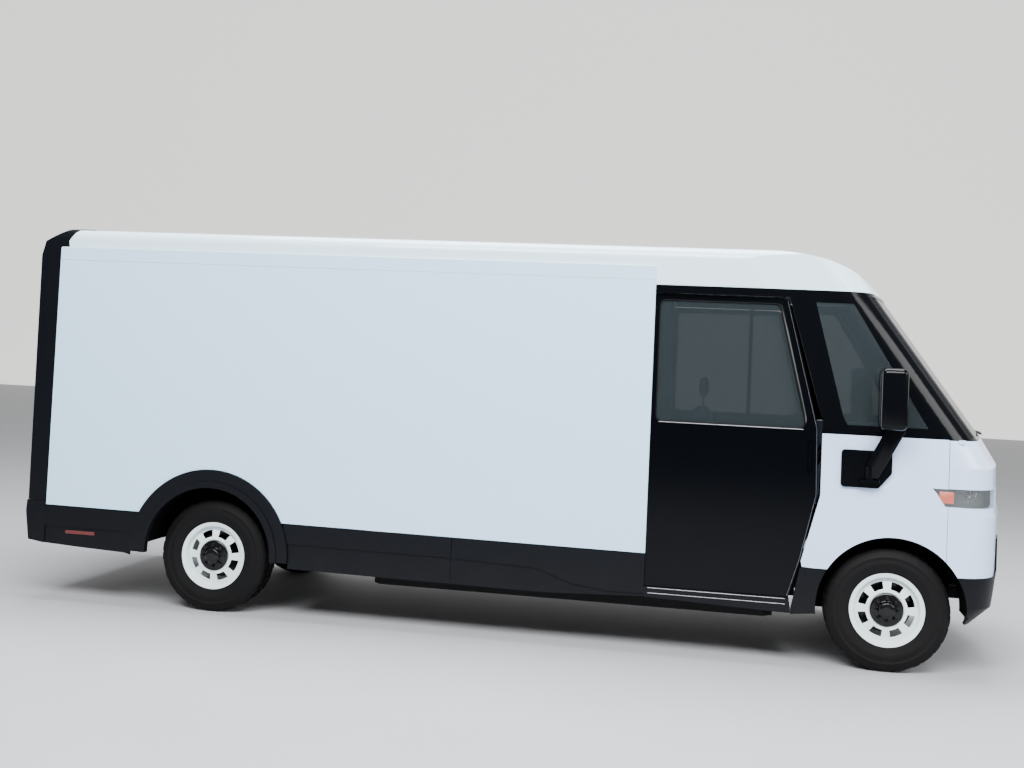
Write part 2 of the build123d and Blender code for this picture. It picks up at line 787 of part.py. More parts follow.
def cab_door_glass(side):
    glass = rounded_slab(glass_outline(-fit), [30, 30, 30, 60], door_y - 16, door_y - 10)
    mullion_x = front_axle_x - 930
    post = block(mullion_x - 10, mullion_x + 10, door_y - 30, door_y - 16, 1552, 2349)
    shape = fuse(glass, post)
    return shape if side > 0 else shape.mirror(Plane.XZ)


def fender_region(y0, y1):
    x = front_axle_x
    line = [
        (x - 449, belt_z),
        (x - 448, 1121),
        (x - 557, 690),
        (x - 549, 655),
        (x - 480, 651),
        (hood_gap_x, 651),
        (hood_gap_x, belt_z),
    ]
    return side_slab(line, y0, y1)


def fenders():
    """Front wings with their arches, lamp cut-outs and mirror base recess."""
    wall = nose_wall(651, belt_z)
    shapes = []
    for side in (1, -1):
        y0, y1 = sorted((side * 700, side * (half + 20)))
        wing = wall & fender_region(y0, y1)
        y0, y1 = sorted((side * 900, side * (half + 60)))
        wing = wing - tube_y(front_axle_x + 15, 408, y0, y1, arch_r)
        lamp = lamp_region(y0, y1, 2)
        shapes.append(wing - lamp)
    return shapes


def lamp_region(y0, y1, grow=0.0):
    x = front_axle_x
    g = grow
    line = [
        (x + 249 - g, lamp_top_z + 2 + g),
        (x + 275 - g, lamp_top_z - 22),
        (x + 332 - g, lamp_low_z + 8 - g),
        (nose_x + 60, lamp_low_z - g),
        (nose_x + 60, lamp_top_z + 2 + g),
    ]
    return side_slab(line, y0, y1)


def headlamps():
    """Lamp units that wrap the corners, and the fog lamps below them."""
    z0 = lamp_low_z - 2
    z1 = lamp_top_z + 4
    wall = skin(z0, z1, shift_at(z0), shift_at(z1), 60, 3)
    shapes = []
    for side in (1, -1):
        y0, y1 = sorted((side * grille_y, side * (half + 20)))
        shapes.append(wall & lamp_region(y0, y1))
    return shapes


def nose_panel():
    """White nose from wing to wing under the bonnet, open for the grille."""
    wall = nose_wall(651, lamp_top_z - 1)
    x = hood_gap_x
    region = side_slab([(x + 3, 651), (x + 3, lamp_top_z - 1), (nose_x + 60, lamp_top_z - 1), (nose_x + 60, 651)], -half - 20, half + 20)
    nose = wall & region
    nose = nose - tube_y(front_axle_x + 15, 408, -half - 20, half + 20, arch_r)
    for side in (1, -1):
        y0, y1 = sorted((side * (grille_y - 2), side * (half + 60)))
        nose = nose - lamp_region(y0, y1, 2)
        y0, y1 = sorted((side * 660, side * 860))
        nose = nose - block(nose_x - 250, nose_x + 60, y0, y1, 745, 795)
    return nose - block(nose_x - 250, nose_x + 60, -560, 560, 640, 860)


def front_bumper():
    """Black lower bumper with the intake panel that rises into the nose."""
    lower = skin(457, 646, 22, 0, 34, -bumper_proud) + skin(341, 457, 150, 22, 34, -bumper_proud)
    x = front_axle_x
    line = [(x + 396, 341), (x + 409, 646), (nose_x + 80, 646), (nose_x + 80, 341)]
    lower = lower & side_slab(line, -half - 20, half + 20)
    lower = lower - tube_y(x + 15, 408, -half - 20, half + 20, arch_r)
    rise = skin(640, 859.7, 0, 0, 30, -bumper_proud) & block(nose_x - 260, nose_x + 60, -559.7, 559.7, 640, 859.7)
    slots = None
    for i in range(4):
        z = 690 + 42 * i
        slot = block(nose_x - 300, nose_x + 60, -470, 470, z - 11, z + 11)
        slots = slot if slots is None else slots + slot
    bumper = (lower + rise) - slots
    for side in (1, -1):
        y0, y1 = sorted((side * rail_y, side * (rail_y + rail_w)))
        box = block(rail_front_x, nose_x - 80, y0, y1, front_rail_z + 15, front_rail_z + 95)
        bumper = bumper + box
    return bumper


def hood():
    """Bonnet panel on two pairs of ears that turn on the frame's hinge pins."""
    wall = nose_wall(hood_low_z, hood_top_z, hood_t)
    lid = wall & block(hood_gap_x, nose_x + 60, -hood_half, hood_half, hood_low_z, hood_top_z)
    web_x = nose_x - shift_at(hood_hinge_z) - hood_t + 6
    for y in (-160, -100, 100, 160):
        ear = tube_y(hood_hinge_x, hood_hinge_z, y - 11, y + 11, 2 * hood_pin_r)
        ear = ear + block(hood_hinge_x, web_x, y - 11, y + 11, hood_hinge_z - 14, hood_hinge_z + 14)
        lid = lid + ear
        lid = lid - tube_y(hood_hinge_x, hood_hinge_z, y - 15, y + 15, hood_pin_r + axle_fit)
    return lid


def nose_corners():
    """Fixed corner panels beside the bonnet, each with a tab up to the frame."""
    wall = nose_wall(hood_low_z, hood_top_z, hood_t)
    shapes = []
    for side in (1, -1):
        y0, y1 = sorted((side * (hood_half + hood_gap), side * (half + 20)))
        panel = wall & block(hood_gap_x + hood_gap, nose_x + 60, y0, y1, hood_low_z, hood_top_z)
        y0, y1 = sorted((side * (half - 66), side * (half - 50)))
        x = hood_gap_x + 60
        tab = block(x, x + 40, y0, y1, hood_top_z - 20, belt_z + 2 - seat_clear)
        shapes.append(panel + tab)
    return shapes


def cab_frame():
    """Black pillars, header and cowl with the bonnet's hinge pins."""
    low = belt_z + 2
    high = screen_top_z
    wall = skin(low, high + 3, screen_shift(low), screen_shift(high + 3), frame_t, 0)
    x = front_axle_x
    line = [
        (panel_front_x + 2, door_top_z + shut_gap + 1),
        (door_lean_top_x + shut_gap, door_top_z + shut_gap + 1),
        (x - 449, 1600),
        (x - 449, low),
        (nose_x + 60, low),
        (nose_x + 60, high + 3),
        (panel_front_x + 2, high + 3),
    ]
    frame = wall & side_slab(line, -half - 20, half + 20)
    frame = frame - door_slab(shut_gap, -half - 20, half + 20)
    frame = frame - block(x - 300, nose_x, -screen_y, screen_y, low + 14, high - 22)
    for solid in both_sides(side_slab(quarter_outline(0), 700, half + 20)):
        frame = frame - solid
    post = side_slab(
        [
            (x - 580, cab_floor_z),
            (x - 460, cab_floor_z),
            (x - 415, 1120),
            (x - 400, low + 1),
            (x - 440, low + 1),
            (x - 455, 1120),
            (x - 540, 700),
        ],
        half - 130,
        half - shell_t,
    )
    post = post - tube_y(front_axle_x, tyre_r, 500, half, liner_r + seat_clear)
    cowl = screen_block(frame_t, low, low + 20) & block(x + 150, nose_x, -half, half, low, low + 20)
    wall_x = x + 262
    dash_wall = block(wall_x - 20, wall_x, -880, 880, 915, low + 1)
    frame = frame + cowl + dash_wall
    for solid in both_sides(post) + [wiper_spindle()]:
        frame = frame + solid
    for y in (-130, 130):
        frame = frame + tube_y(hood_hinge_x, hood_hinge_z, y - 45, y + 45, hood_pin_r)
        arm = block(wall_x - 5, hood_hinge_x + 10, y - 10, y + 10, hood_hinge_z - 12, hood_hinge_z + 12)
        frame = frame + arm
    return frame


def quarter_outline(grow):
    x = front_axle_x
    g = grow
    return [
        (x - 518 + g, 2375 - g),
        (x - 322 + g, 1640 + g),
        (x - 292 + g, 1585 + g),
        (x + 215 - 2 * g, 1585 + g),
        (x - 275 - g, 2375 - g),
    ]


def quarter_glass():
    low = belt_z + 2
    high = screen_top_z
    shapes = []
    for side in (1, -1):
        y0, y1 = sorted((side * 700, side * (half + 20)))
        side_pane = side_slab(quarter_outline(fit), y0, y1)
        pane = side_pane & screen_block(3, low, high)
        shapes.append(pane - screen_block(3 + glass_t, low, high))
    return shapes


def windscreen():
    low = belt_z + 16 + fit
    high = screen_top_z - 22 - fit
    wall = skin(low, high, screen_shift(low), screen_shift(high), glass_t, 3)
    return wall & block(front_axle_x - 300, nose_x, fit - screen_y, screen_y - fit, low, high)


def screen_place(y, z, proud):
    """Plane on the windscreen at a height: x up the screen, y across, z outwards."""
    run = (1 + screen_slope**2) ** 0.5
    up = Vector(-screen_slope / run, 0, 1 / run)
    out = Vector(1 / run, 0, screen_slope / run)
    x = nose_x - screen_shift(z) - 3
    return Plane(origin=Vector(x, y, z) + out * proud, x_dir=up, z_dir=out)


def wiper():
    """Wiper laid along the screen's foot, with an eye on its spindle."""
    arm = Pos(0, 290, 9) * Box(22, 580, 7)
    blade = Pos(4, 330, 2) * Box(12, 600, 8)
    eye = Pos(0, 0, 3) * Cylinder(17, 14)
    shape = fuse(arm, blade, eye) - Cylinder(7 + axle_fit, 60)
    return screen_place(wiper_y, wiper_z, wiper_proud).location * shape


def wiper_spindle():
    """Fixed spindle that the wiper turns on."""
    place = screen_place(wiper_y, wiper_z, wiper_proud)
    return place.location * (Pos(0, 0, -3) * Cylinder(7, 24))


wiper_z = belt_z + 11
wiper_proud = 12.0
wiper_y = 300.0

# Cab fittings
wheel_hub_x = front_axle_x - 385.0
wheel_hub_z = 1290.0
driver_y = 420.0
column_tilt = 25.0
steering_r = 215.0
seat_x = front_axle_x - 1010.0
seat_base_z = 860.0
pedal_z = 905.0
pedal_x = front_axle_x - 70.0


def dashboard():
    """Dash moulding, its column and the pedals' pivot bracket."""
    x = front_axle_x
    line = [(x + 242, 1180), (x + 242, 1500), (x - 60, 1470), (x - 190, 1380), (x - 150, 1180)]
    dash = rounded_slab(line, [0, 0, 60, 60, 40], -930, 930)
    dash = dash - rounded_slab(dash_tray(), 20, -820, -120)
    place = column_plane(-26)
    column = place.location * (Pos(0, 0, -160) * Cylinder(26, 320))
    spindle = place.location * (Pos(0, 0, 14) * Cylinder(12, 30))
    bracket = block(x + 215, x + 242, -40 + driver_y, 60 + driver_y, 1060, 1181)
    hanger = block(x - 20, x + 216, driver_y - 130, driver_y - 116, 1150, 1181)
    hanger = hanger + block(x - 20, x + 216, driver_y + 16, driver_y + 30, 1150, 1181)
    ears = block(pedal_pivot_x - 16, pedal_pivot_x + 16, driver_y - 130, driver_y - 116, 1120, 1181)
    ears = ears + block(pedal_pivot_x - 16, pedal_pivot_x + 16, driver_y + 16, driver_y + 30, 1120, 1181)
    bar = tube_y(pedal_pivot_x, 1136, driver_y - 125, driver_y + 25, 7)
    return dash + column + spindle + bracket + hanger + ears + bar


pedal_pivot_x = front_axle_x + 60.0


def dash_tray():
    x = front_axle_x
    return [(x - 230, 1420), (x - 20, 1420), (x - 20, 1600), (x - 230, 1600)]


def column_plane(along):
    """Plane square to the steering column, along mm up from the wheel's hub."""
    tilt = radians(column_tilt)
    up = Vector(-cos(tilt), 0, sin(tilt))
    origin = Vector(wheel_hub_x, driver_y, wheel_hub_z) + up * along
    return Plane(origin=origin, x_dir=(0, 1, 0), z_dir=up)


def steering_wheel():
    place = column_plane(0)
    rim = Torus(steering_r - 15, 15)
    boss = Pos(0, 0, -8) * Cylinder(48, 34)
    shape = fuse(rim, boss)
    for turn in (0, 180, 270):
        spoke = Rot(0, 0, turn) * Box(steering_r - 15, 28, 12).translate(((steering_r - 15) / 2 + 4, 0, -4))
        shape = shape + spoke
    shape = shape - Pos(0, 0, -12) * Cylinder(12 + axle_fit, 34)
    return place.location * shape


def pedal(y, width):
    """Hanging pedal with its pad."""
    lever = side_slab(
        [
            (pedal_pivot_x - 9, 1136),
            (pedal_pivot_x + 9, 1136),
            (pedal_x + 22, 960),
            (pedal_x + 4, 880),
            (pedal_x - 8, 884),
            (pedal_x + 4, 962),
        ],
        y - 8,
        y + 8,
    )
    eye = tube_y(pedal_pivot_x, 1136, y - 14, y + 14, 16)
    pad = side_slab([(pedal_x - 14, 860), (pedal_x - 2, 858), (pedal_x + 14, 934), (pedal_x + 2, 938)], y - width / 2, y + width / 2)
    shape = lever + eye + pad
    return shape - tube_y(pedal_pivot_x, 1136, y - 20, y + 20, 7 + axle_fit)


def seat_base():
    """Pedestal and runner rails on the cab floor."""
    low = cab_floor_z
    post = block(seat_x - 190, seat_x + 190, driver_y - 170, driver_y + 170, low, seat_base_z - 40)
    post = chamfer(post.edges().filter_by(Axis.Z), 30)
    shape = post
    for y in (driver_y - 150, driver_y + 150):
        shape = shape + block(seat_x - 260, seat_x + 260, y - 15, y + 15, seat_base_z - 41, seat_base_z - 10)
    return shape


def seat_cushion():
    """Cushion on its pan, with runners that straddle the rails."""
    pad = block(seat_x - 250, seat_x + 260, driver_y - 250, driver_y + 250, seat_base_z - 9.7, seat_base_z + 110)
    return fillet(pad.edges().filter_by(Axis.Z), 60)


def seat_back():
    line = [
        (seat_x - 252, seat_base_z + 110),
        (seat_x - 120, seat_base_z + 110),
        (seat_x - 220, 1640),
        (seat_x - 300, 1640),
    ]
    back = rounded_slab(line, 30, driver_y - 240, driver_y + 240)
    head = rounded_slab(
        [(seat_x - 315, 1668), (seat_x - 225, 1668), (seat_x - 235, 1850), (seat_x - 315, 1850)],
        28,
        driver_y - 130,
        driver_y + 130,
    )
    posts = [tube_z(seat_x - 268, driver_y + d, 1600, 1700, 7) for d in (-60, 60)]
    return fuse(back, head, *posts)


def mirror_bases():
    """Base plates on the wings with the pivot pins of the arms."""
    x = mirror_pivot_x
    plate = rounded_slab(
        [(x - 176, 1190), (x - 176, 1430), (x + 141, 1430), (x + 141, 1290), (x + 60, 1190)],
        24,
        half - 1,
        half + 18,
    )
    plate = plate - leaning(0, 1100, 1500, 0, 0)
    shelf = block(x - 60, x + 60, half + 10, mirror_y + 24, 1226, 1246)
    shelf = fillet(shelf.edges().filter_by(Axis.Z), 10)
    pin = tube_z(x, mirror_y, 1246, 1330, mirror_pivot_r)
    shape = plate + shelf + pin
    return both_sides(shape)


def mirror_arm(side):
    """Cranked arm and mirror head on the pivot pin."""
    x = mirror_pivot_x
    y = mirror_y
    eye = tube_z(x, y, 1246.3, 1325, 27)
    line = [(x - 20, 1250), (x + 20, 1250), (x + 215, 1600), (x + 215, 1700), (x + 170, 1700), (x + 150, 1610), (x - 20, 1320)]
    arm = side_slab(line, y - 12, y + 14)
    arm = arm & block(x - 30, x + 400, y - 13, y + 15, 1246.3, 1720)
    head = block(x + 38, x + 205, y - 12, y + 200, 1575, 1965)
    head = fillet(head.edges().filter_by(Axis.Y), 40)
    face = block(x + 30, x + 46, y + 6, y + 184, 1600, 1942)
    shape = (eye + arm + head) - face
    shape = shape - tube_z(x, y, 1240, 1340, mirror_pivot_r + axle_fit)
    return shape if side > 0 else shape.mirror(Plane.XZ)


def mirror_glass(side):
    x = mirror_pivot_x
    y = mirror_y
    pane = block(x + 41, x + 45.7, y + 7, y + 183, 1601, 1941)
    return pane if side > 0 else pane.mirror(Plane.XZ)


def save_body():
    single = {
        "roof": roof,
        "rear_frame": rear_frame,
        "bulkhead": bulkhead,
        "bulkhead_door": bulkhead_door,
        "rear_bumper": rear_bumper,
        "rear_door_handle": rear_door_handle,
        "nose_panel": nose_panel,
        "front_bumper": front_bumper,
        "bonnet": hood,
        "wiper": wiper,
        "cab_frame": cab_frame,
        "windscreen": windscreen,
        "dashboard": dashboard,
        "steering_wheel": steering_wheel,
        "seat_base": seat_base,
        "seat_cushion": seat_cushion,
        "seat_back": seat_back,
    }
    for name, maker in single.items():
        save(name, maker())
    groups = {
        "tail_lamps": tail_lamps,
        "side_panels": side_panels,
        "inner_walls": inner_walls,
        "floors": floors,
        "wheel_liners": wheel_liners,
        "arch_trims": arch_trims,
        "side_skirts": side_skirts,
        "marker_lamps": marker_lamps,
        "headlamps": headlamps,
        "quarter_glass": quarter_glass,
        "mirror_bases": mirror_bases,
    }
    for name, maker in groups.items():
        save(name, *maker())
    save("wings", *fenders(), *nose_corners())
    for side, word in ((1, "left"), (-1, "right")):
        save(f"rear_door_{word}", rear_door(side))
        save(f"cab_door_{word}", cab_door(side))
        save(f"cab_door_glass_{word}", cab_door_glass(side))
        save(f"mirror_arm_{word}", mirror_arm(side))
        save(f"mirror_glass_{word}", mirror_glass(side))
    save("brake_pedal", pedal(driver_y - 75, 90))
    save("accelerator_pedal", pedal(driver_y - 2, 40))


os.makedirs("parts", exist_ok=True)
save_running_gear()
save_body()
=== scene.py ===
import bpy
from math import atan2, cos, degrees, pi, radians, sin
from mathutils import Matrix, Vector


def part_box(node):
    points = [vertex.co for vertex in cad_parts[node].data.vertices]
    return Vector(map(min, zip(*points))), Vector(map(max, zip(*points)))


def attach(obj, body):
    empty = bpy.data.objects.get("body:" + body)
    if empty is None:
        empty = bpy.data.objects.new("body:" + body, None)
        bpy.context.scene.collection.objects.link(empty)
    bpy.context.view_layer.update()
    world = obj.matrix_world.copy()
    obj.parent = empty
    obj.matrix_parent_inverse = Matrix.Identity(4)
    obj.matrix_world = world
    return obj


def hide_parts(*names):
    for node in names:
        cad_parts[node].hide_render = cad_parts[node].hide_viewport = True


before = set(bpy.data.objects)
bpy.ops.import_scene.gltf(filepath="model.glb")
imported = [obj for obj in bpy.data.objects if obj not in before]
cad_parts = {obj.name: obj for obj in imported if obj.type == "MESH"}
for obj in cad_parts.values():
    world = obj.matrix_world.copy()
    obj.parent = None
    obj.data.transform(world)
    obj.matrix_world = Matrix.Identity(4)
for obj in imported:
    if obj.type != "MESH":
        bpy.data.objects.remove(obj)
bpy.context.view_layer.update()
print("frame loaded:", len(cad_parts), "nodes")

bpy.ops.object.select_all(action="DESELECT")

nodeObjects = {name: bpy.data.objects[name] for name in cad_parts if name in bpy.data.objects}


# ---- small helpers for nodes
def newMaterial(name):
    material = bpy.data.materials.new(name)
    material.use_nodes = True
    nodes = material.node_tree.nodes
    shader = nodes.get("Principled BSDF")
    return material, nodes, material.node_tree.links, shader


def newGroup(name, inputs, outputs):
    group = bpy.data.node_groups.new(name, "ShaderNodeTree")
    for label, kind, value in inputs:
        socket = group.interface.new_socket(label, in_out="INPUT", socket_type=kind)
        socket.default_value = value
    for label, kind in outputs:
        group.interface.new_socket(label, in_out="OUTPUT", socket_type=kind)
    start = group.nodes.new("NodeGroupInput")
    end = group.nodes.new("NodeGroupOutput")
    return group, start, end


def useGroup(nodes, group, **values):
    node = nodes.new("ShaderNodeGroup")
    node.node_tree = group
    for label, value in values.items():
        node.inputs[label].default_value = value
    return node


def objectCoords(nodes):
    return nodes.new("ShaderNodeTexCoord").outputs["Object"]


# Road dust: heavier near the ground, broken up by noise
def makeRoadDust():
    group, start, end = newGroup(
        "roadDust",
        [
            ("Color", "NodeSocketColor", (0.5, 0.5, 0.5, 1)),
            ("Dust", "NodeSocketColor", (0.3, 0.28, 0.25, 1)),
            ("Top", "NodeSocketFloat", 0.8),
            ("Amount", "NodeSocketFloat", 0.3),
            ("Roughness", "NodeSocketFloat", 0.3),
        ],
        [("Color", "NodeSocketColor"), ("Roughness", "NodeSocketFloat")],
    )
    nodes, links = group.nodes, group.links
    coords = nodes.new("ShaderNodeTexCoord")
    split = nodes.new("ShaderNodeSeparateXYZ")
    links.new(coords.outputs["Object"], split.inputs[0])
    fall = nodes.new("ShaderNodeMapRange")
    fall.inputs["From Min"].default_value = 0.25
    links.new(start.outputs["Top"], fall.inputs["From Max"])
    fall.inputs["To Min"].default_value = 1.0
    fall.inputs["To Max"].default_value = 0.0
    links.new(split.outputs["Z"], fall.inputs["Value"])
    blotch = nodes.new("ShaderNodeTexNoise")
    blotch.inputs["Scale"].default_value = 7.0
    blotch.inputs["Detail"].default_value = 6.0
    blotch.inputs["Roughness"].default_value = 0.65
    links.new(coords.outputs["Object"], blotch.inputs["Vector"])
    product = nodes.new("ShaderNodeMath")
    product.operation = "MULTIPLY"
    links.new(fall.outputs["Result"], product.inputs[0])
    links.new(blotch.outputs["Fac"], product.inputs[1])
    amount = nodes.new("ShaderNodeMath")
    amount.operation = "MULTIPLY"
    amount.use_clamp = True
    links.new(product.outputs[0], amount.inputs[0])
    links.new(start.outputs["Amount"], amount.inputs[1])
    mix = nodes.new("ShaderNodeMix")
    mix.data_type = "RGBA"
    links.new(amount.outputs[0], mix.inputs["Factor"])
    links.new(start.outputs["Color"], mix.inputs["A"])
    links.new(start.outputs["Dust"], mix.inputs["B"])
    links.new(mix.outputs["Result"], end.inputs["Color"])
    rough = nodes.new("ShaderNodeMapRange")
    rough.inputs["From Min"].default_value = 0.0
    rough.inputs["From Max"].default_value = 1.0
    rough.inputs["To Max"].default_value = 0.85
    links.new(start.outputs["Roughness"], rough.inputs["To Min"])
    links.new(amount.outputs[0], rough.inputs["Value"])
    links.new(rough.outputs["Result"], end.inputs["Roughness"])
    return group


# Fine surface texture as a normal: orange peel in paint, grain in plastic, pits in castings
def makeSurfaceGrain():
    group, start, end = newGroup(
        "surfaceGrain",
        [
            ("Scale", "NodeSocketFloat", 400.0),
            ("Depth", "NodeSocketFloat", 0.05),
            ("Wave", "NodeSocketFloat", 2.0),
            ("WaveDepth", "NodeSocketFloat", 0.02),
        ],
        [("Normal", "NodeSocketVector"), ("Mask", "NodeSocketFloat")],
    )
    nodes, links = group.nodes, group.links
    coords = nodes.new("ShaderNodeTexCoord")
    fine = nodes.new("ShaderNodeTexNoise")
    fine.inputs["Detail"].default_value = 3.0
    links.new(coords.outputs["Object"], fine.inputs["Vector"])
    links.new(start.outputs["Scale"], fine.inputs["Scale"])
    wide = nodes.new("ShaderNodeTexNoise")
    wide.inputs["Detail"].default_value = 1.0
    links.new(coords.outputs["Object"], wide.inputs["Vector"])
    links.new(start.outputs["Wave"], wide.inputs["Scale"])
    wideBump = nodes.new("ShaderNodeBump")
    wideBump.inputs["Distance"].default_value = 0.02
    links.new(start.outputs["WaveDepth"], wideBump.inputs["Strength"])
    links.new(wide.outputs["Fac"], wideBump.inputs["Height"])
    bump = nodes.new("ShaderNodeBump")
    bump.inputs["Distance"].default_value = 0.001
    links.new(start.outputs["Depth"], bump.inputs["Strength"])
    links.new(fine.outputs["Fac"], bump.inputs["Height"])
    links.new(wideBump.outputs["Normal"], bump.inputs["Normal"])
    links.new(bump.outputs["Normal"], end.inputs["Normal"])
    links.new(fine.outputs["Fac"], end.inputs["Mask"])
    return group


roadDust = makeRoadDust()
surfaceGrain = makeSurfaceGrain()

# One entry for each finish: what a user would change
finishes = {
    "bodyWhite": dict(
        color=(0.52, 0.77, 0.98), rough=0.26, spec=0.45, coat=0.4, dust=0.08, top=0.9,
        scale=900, depth=0.02, wave=1.4, waveDepth=0.012,
    ),
    "wingWhite": dict(
        color=(0.58, 0.72, 0.98), rough=0.26, spec=0.45, coat=0.4, dust=0.08, top=0.9,
        scale=900, depth=0.02, wave=1.4, waveDepth=0.012,
    ),
    # roof: the body's white paint made lighter, a painted highlight for the lit band along the
    # roof's rounded edge
    "roofLitWhite": dict(
        color=(0.68, 0.88, 0.98), rough=0.28, spec=0.45, coat=0.4, dust=0.04, top=1.0,
        scale=900, depth=0.02, wave=1.1, waveDepth=0.012,
    ),
    "glossBlack": dict(
        color=(0.0012, 0.0016, 0.0025), rough=0.10, spec=0.09, coat=0.04, dust=0.02, top=0.9,
        scale=700, depth=0.01, wave=2.0, waveDepth=0.02,
    ),
    "pillarBlack": dict(
        color=(0.0012, 0.0016, 0.0025), rough=0.16, spec=0.12, coat=0.05, dust=0.02, top=0.9,
        scale=700, depth=0.02, wave=2.0, waveDepth=0.01,
    ),
    "claddingBlack": dict(
        color=(0.0022, 0.0028, 0.0045), rough=0.45, spec=0.16, coat=0.0, dust=0.07, top=0.62,
        scale=520, depth=0.35, wave=3.0, waveDepth=0.01,
    ),
    "hoopBlack": dict(
        color=(0.0022, 0.003, 0.005), rough=0.38, spec=0.14, coat=0.03, dust=0.04, top=0.9,
        scale=520, depth=0.2, wave=2.0, waveDepth=0.01,
    ),
    "wheelPaint": dict(
        color=(0.78, 0.88, 0.90), rough=0.32, spec=0.5, coat=0.3, dust=0.22, top=0.70,
        scale=260, depth=0.12, wave=9.0, waveDepth=0.01,
    ),
    "capBlack": dict(
        color=(0.0015, 0.0015, 0.002), rough=0.20, spec=0.25, coat=0.15, dust=0.06, top=0.7,
        scale=420, depth=0.1, wave=9.0, waveDepth=0.01,
    ),
    "linerBlack": dict(
        color=(0.002, 0.002, 0.0025), rough=0.85, spec=0.05, coat=0.0, dust=0.06, top=0.9,
        scale=160, depth=0.7, wave=9.0, waveDepth=0.03,
    ),
    "chassisIron": dict(
        color=(0.005, 0.005, 0.006), rough=0.7, spec=0.15, coat=0.0, dust=0.12, top=0.8,
        scale=220, depth=0.6, wave=9.0, waveDepth=0.02,
    ),
    "underPaint": dict(
        color=(0.005, 0.005, 0.006), rough=0.7, spec=0.15, coat=0.0, dust=0.12, top=0.6,
        scale=220, depth=0.4, wave=5.0, waveDepth=0.02,
    ),
    "greyPanel": dict(
        color=(0.42, 0.44, 0.46), rough=0.45, spec=0.5, coat=0.1, dust=0.10, top=1.0,
        scale=420, depth=0.12, wave=2.0, waveDepth=0.02,
    ),
    "dashPlastic": dict(
        color=(0.010, 0.011, 0.013), rough=0.55, spec=0.3, coat=0.0, dust=0.06, top=1.0,
        scale=600, depth=0.5, wave=4.0, waveDepth=0.01,
    ),
}


dustColors = dict(dark=(0.075, 0.072, 0.070, 1), light=(0.50, 0.50, 0.48, 1))


def paintMaterial(name):
    spec = finishes[name]
    material, nodes, links, shader = newMaterial(name)
    dust = useGroup(nodes, roadDust, Top=spec["top"], Amount=spec["dust"], Roughness=spec["rough"])
    dust.inputs["Color"].default_value = (*spec["color"], 1)
    isDark = spec["color"][0] < 0.3
    dust.inputs["Dust"].default_value = dustColors["dark" if isDark else "light"]
    grain = useGroup(
        nodes,
        surfaceGrain,
        Scale=spec["scale"],
        Depth=spec["depth"],
        Wave=spec["wave"],
        WaveDepth=spec["waveDepth"],
    )
    links.new(dust.outputs["Color"], shader.inputs["Base Color"])
    links.new(dust.outputs["Roughness"], shader.inputs["Roughness"])
    links.new(grain.outputs["Normal"], shader.inputs["Normal"])
    shader.inputs["Specular IOR Level"].default_value = spec["spec"]
    shader.inputs["Coat Weight"].default_value = spec["coat"]
    shader.inputs["Coat Roughness"].default_value = 0.04
    return material


def metalMaterial(name, color, rough, streak):
    material, nodes, links, shader = newMaterial(name)
    noise = nodes.new("ShaderNodeTexNoise")
    stretch = nodes.new("ShaderNodeMapping")
    stretch.inputs["Scale"].default_value = (3.0, 60.0, 60.0)
    links.new(objectCoords(nodes), stretch.inputs["Vector"])
    links.new(stretch.outputs["Vector"], noise.inputs["Vector"])
    noise.inputs["Scale"].default_value = streak
    ramp = nodes.new("ShaderNodeMapRange")
    ramp.inputs["To Min"].default_value = rough - 0.08
    ramp.inputs["To Max"].default_value = rough + 0.12
    links.new(noise.outputs["Fac"], ramp.inputs["Value"])
    links.new(ramp.outputs["Result"], shader.inputs["Roughness"])
    tint = nodes.new("ShaderNodeMix")
    tint.data_type = "RGBA"
    tint.inputs["A"].default_value = (*[c * 0.85 for c in color], 1)
    tint.inputs["B"].default_value = (*color, 1)
    links.new(noise.outputs["Fac"], tint.inputs["Factor"])
    links.new(tint.outputs["Result"], shader.inputs["Base Color"])
    shader.inputs["Metallic"].default_value = 1.0
    return material


def glassMaterial(name, color, alpha, rough=0.02, spec=0.35):
    material, nodes, links, shader = newMaterial(name)
    noise = nodes.new("ShaderNodeTexNoise")
    noise.inputs["Scale"].default_value = 2.5
    links.new(objectCoords(nodes), noise.inputs["Vector"])
    smear = nodes.new("ShaderNodeMapRange")
    smear.inputs["To Min"].default_value = rough
    smear.inputs["To Max"].default_value = rough + 0.04
    links.new(noise.outputs["Fac"], smear.inputs["Value"])
    links.new(smear.outputs["Result"], shader.inputs["Roughness"])
    shader.inputs["Base Color"].default_value = (*color, 1)
    shader.inputs["IOR"].default_value = 1.5
    shader.inputs["Alpha"].default_value = alpha
    shader.inputs["Specular IOR Level"].default_value = spec
    return material


def lampMaterial(name, color, glow, ribs):
    material, nodes, links, shader = newMaterial(name)
    wave = nodes.new("ShaderNodeTexWave")
    wave.bands_direction = "Z"
    wave.inputs["Scale"].default_value = ribs
    links.new(objectCoords(nodes), wave.inputs["Vector"])
    bump = nodes.new("ShaderNodeBump")
    bump.inputs["Strength"].default_value = 0.35
    bump.inputs["Distance"].default_value = 0.002
    links.new(wave.outputs["Fac"], bump.inputs["Height"])
    links.new(bump.outputs["Normal"], shader.inputs["Normal"])
    # lens colour darker in the rib troughs: painted shade between the ribs
    tone = nodes.new("ShaderNodeMix")
    tone.data_type = "RGBA"
    tone.inputs["A"].default_value = (*[c * 0.6 for c in color], 1)
    tone.inputs["B"].default_value = (*color, 1)
    links.new(wave.outputs["Fac"], tone.inputs["Factor"])
    links.new(tone.outputs["Result"], shader.inputs["Base Color"])
    shader.inputs["Roughness"].default_value = 0.12
    shader.inputs["Coat Weight"].default_value = 0.8
    shader.inputs["Emission Color"].default_value = (*color, 1)
    shader.inputs["Emission Strength"].default_value = glow
    return material


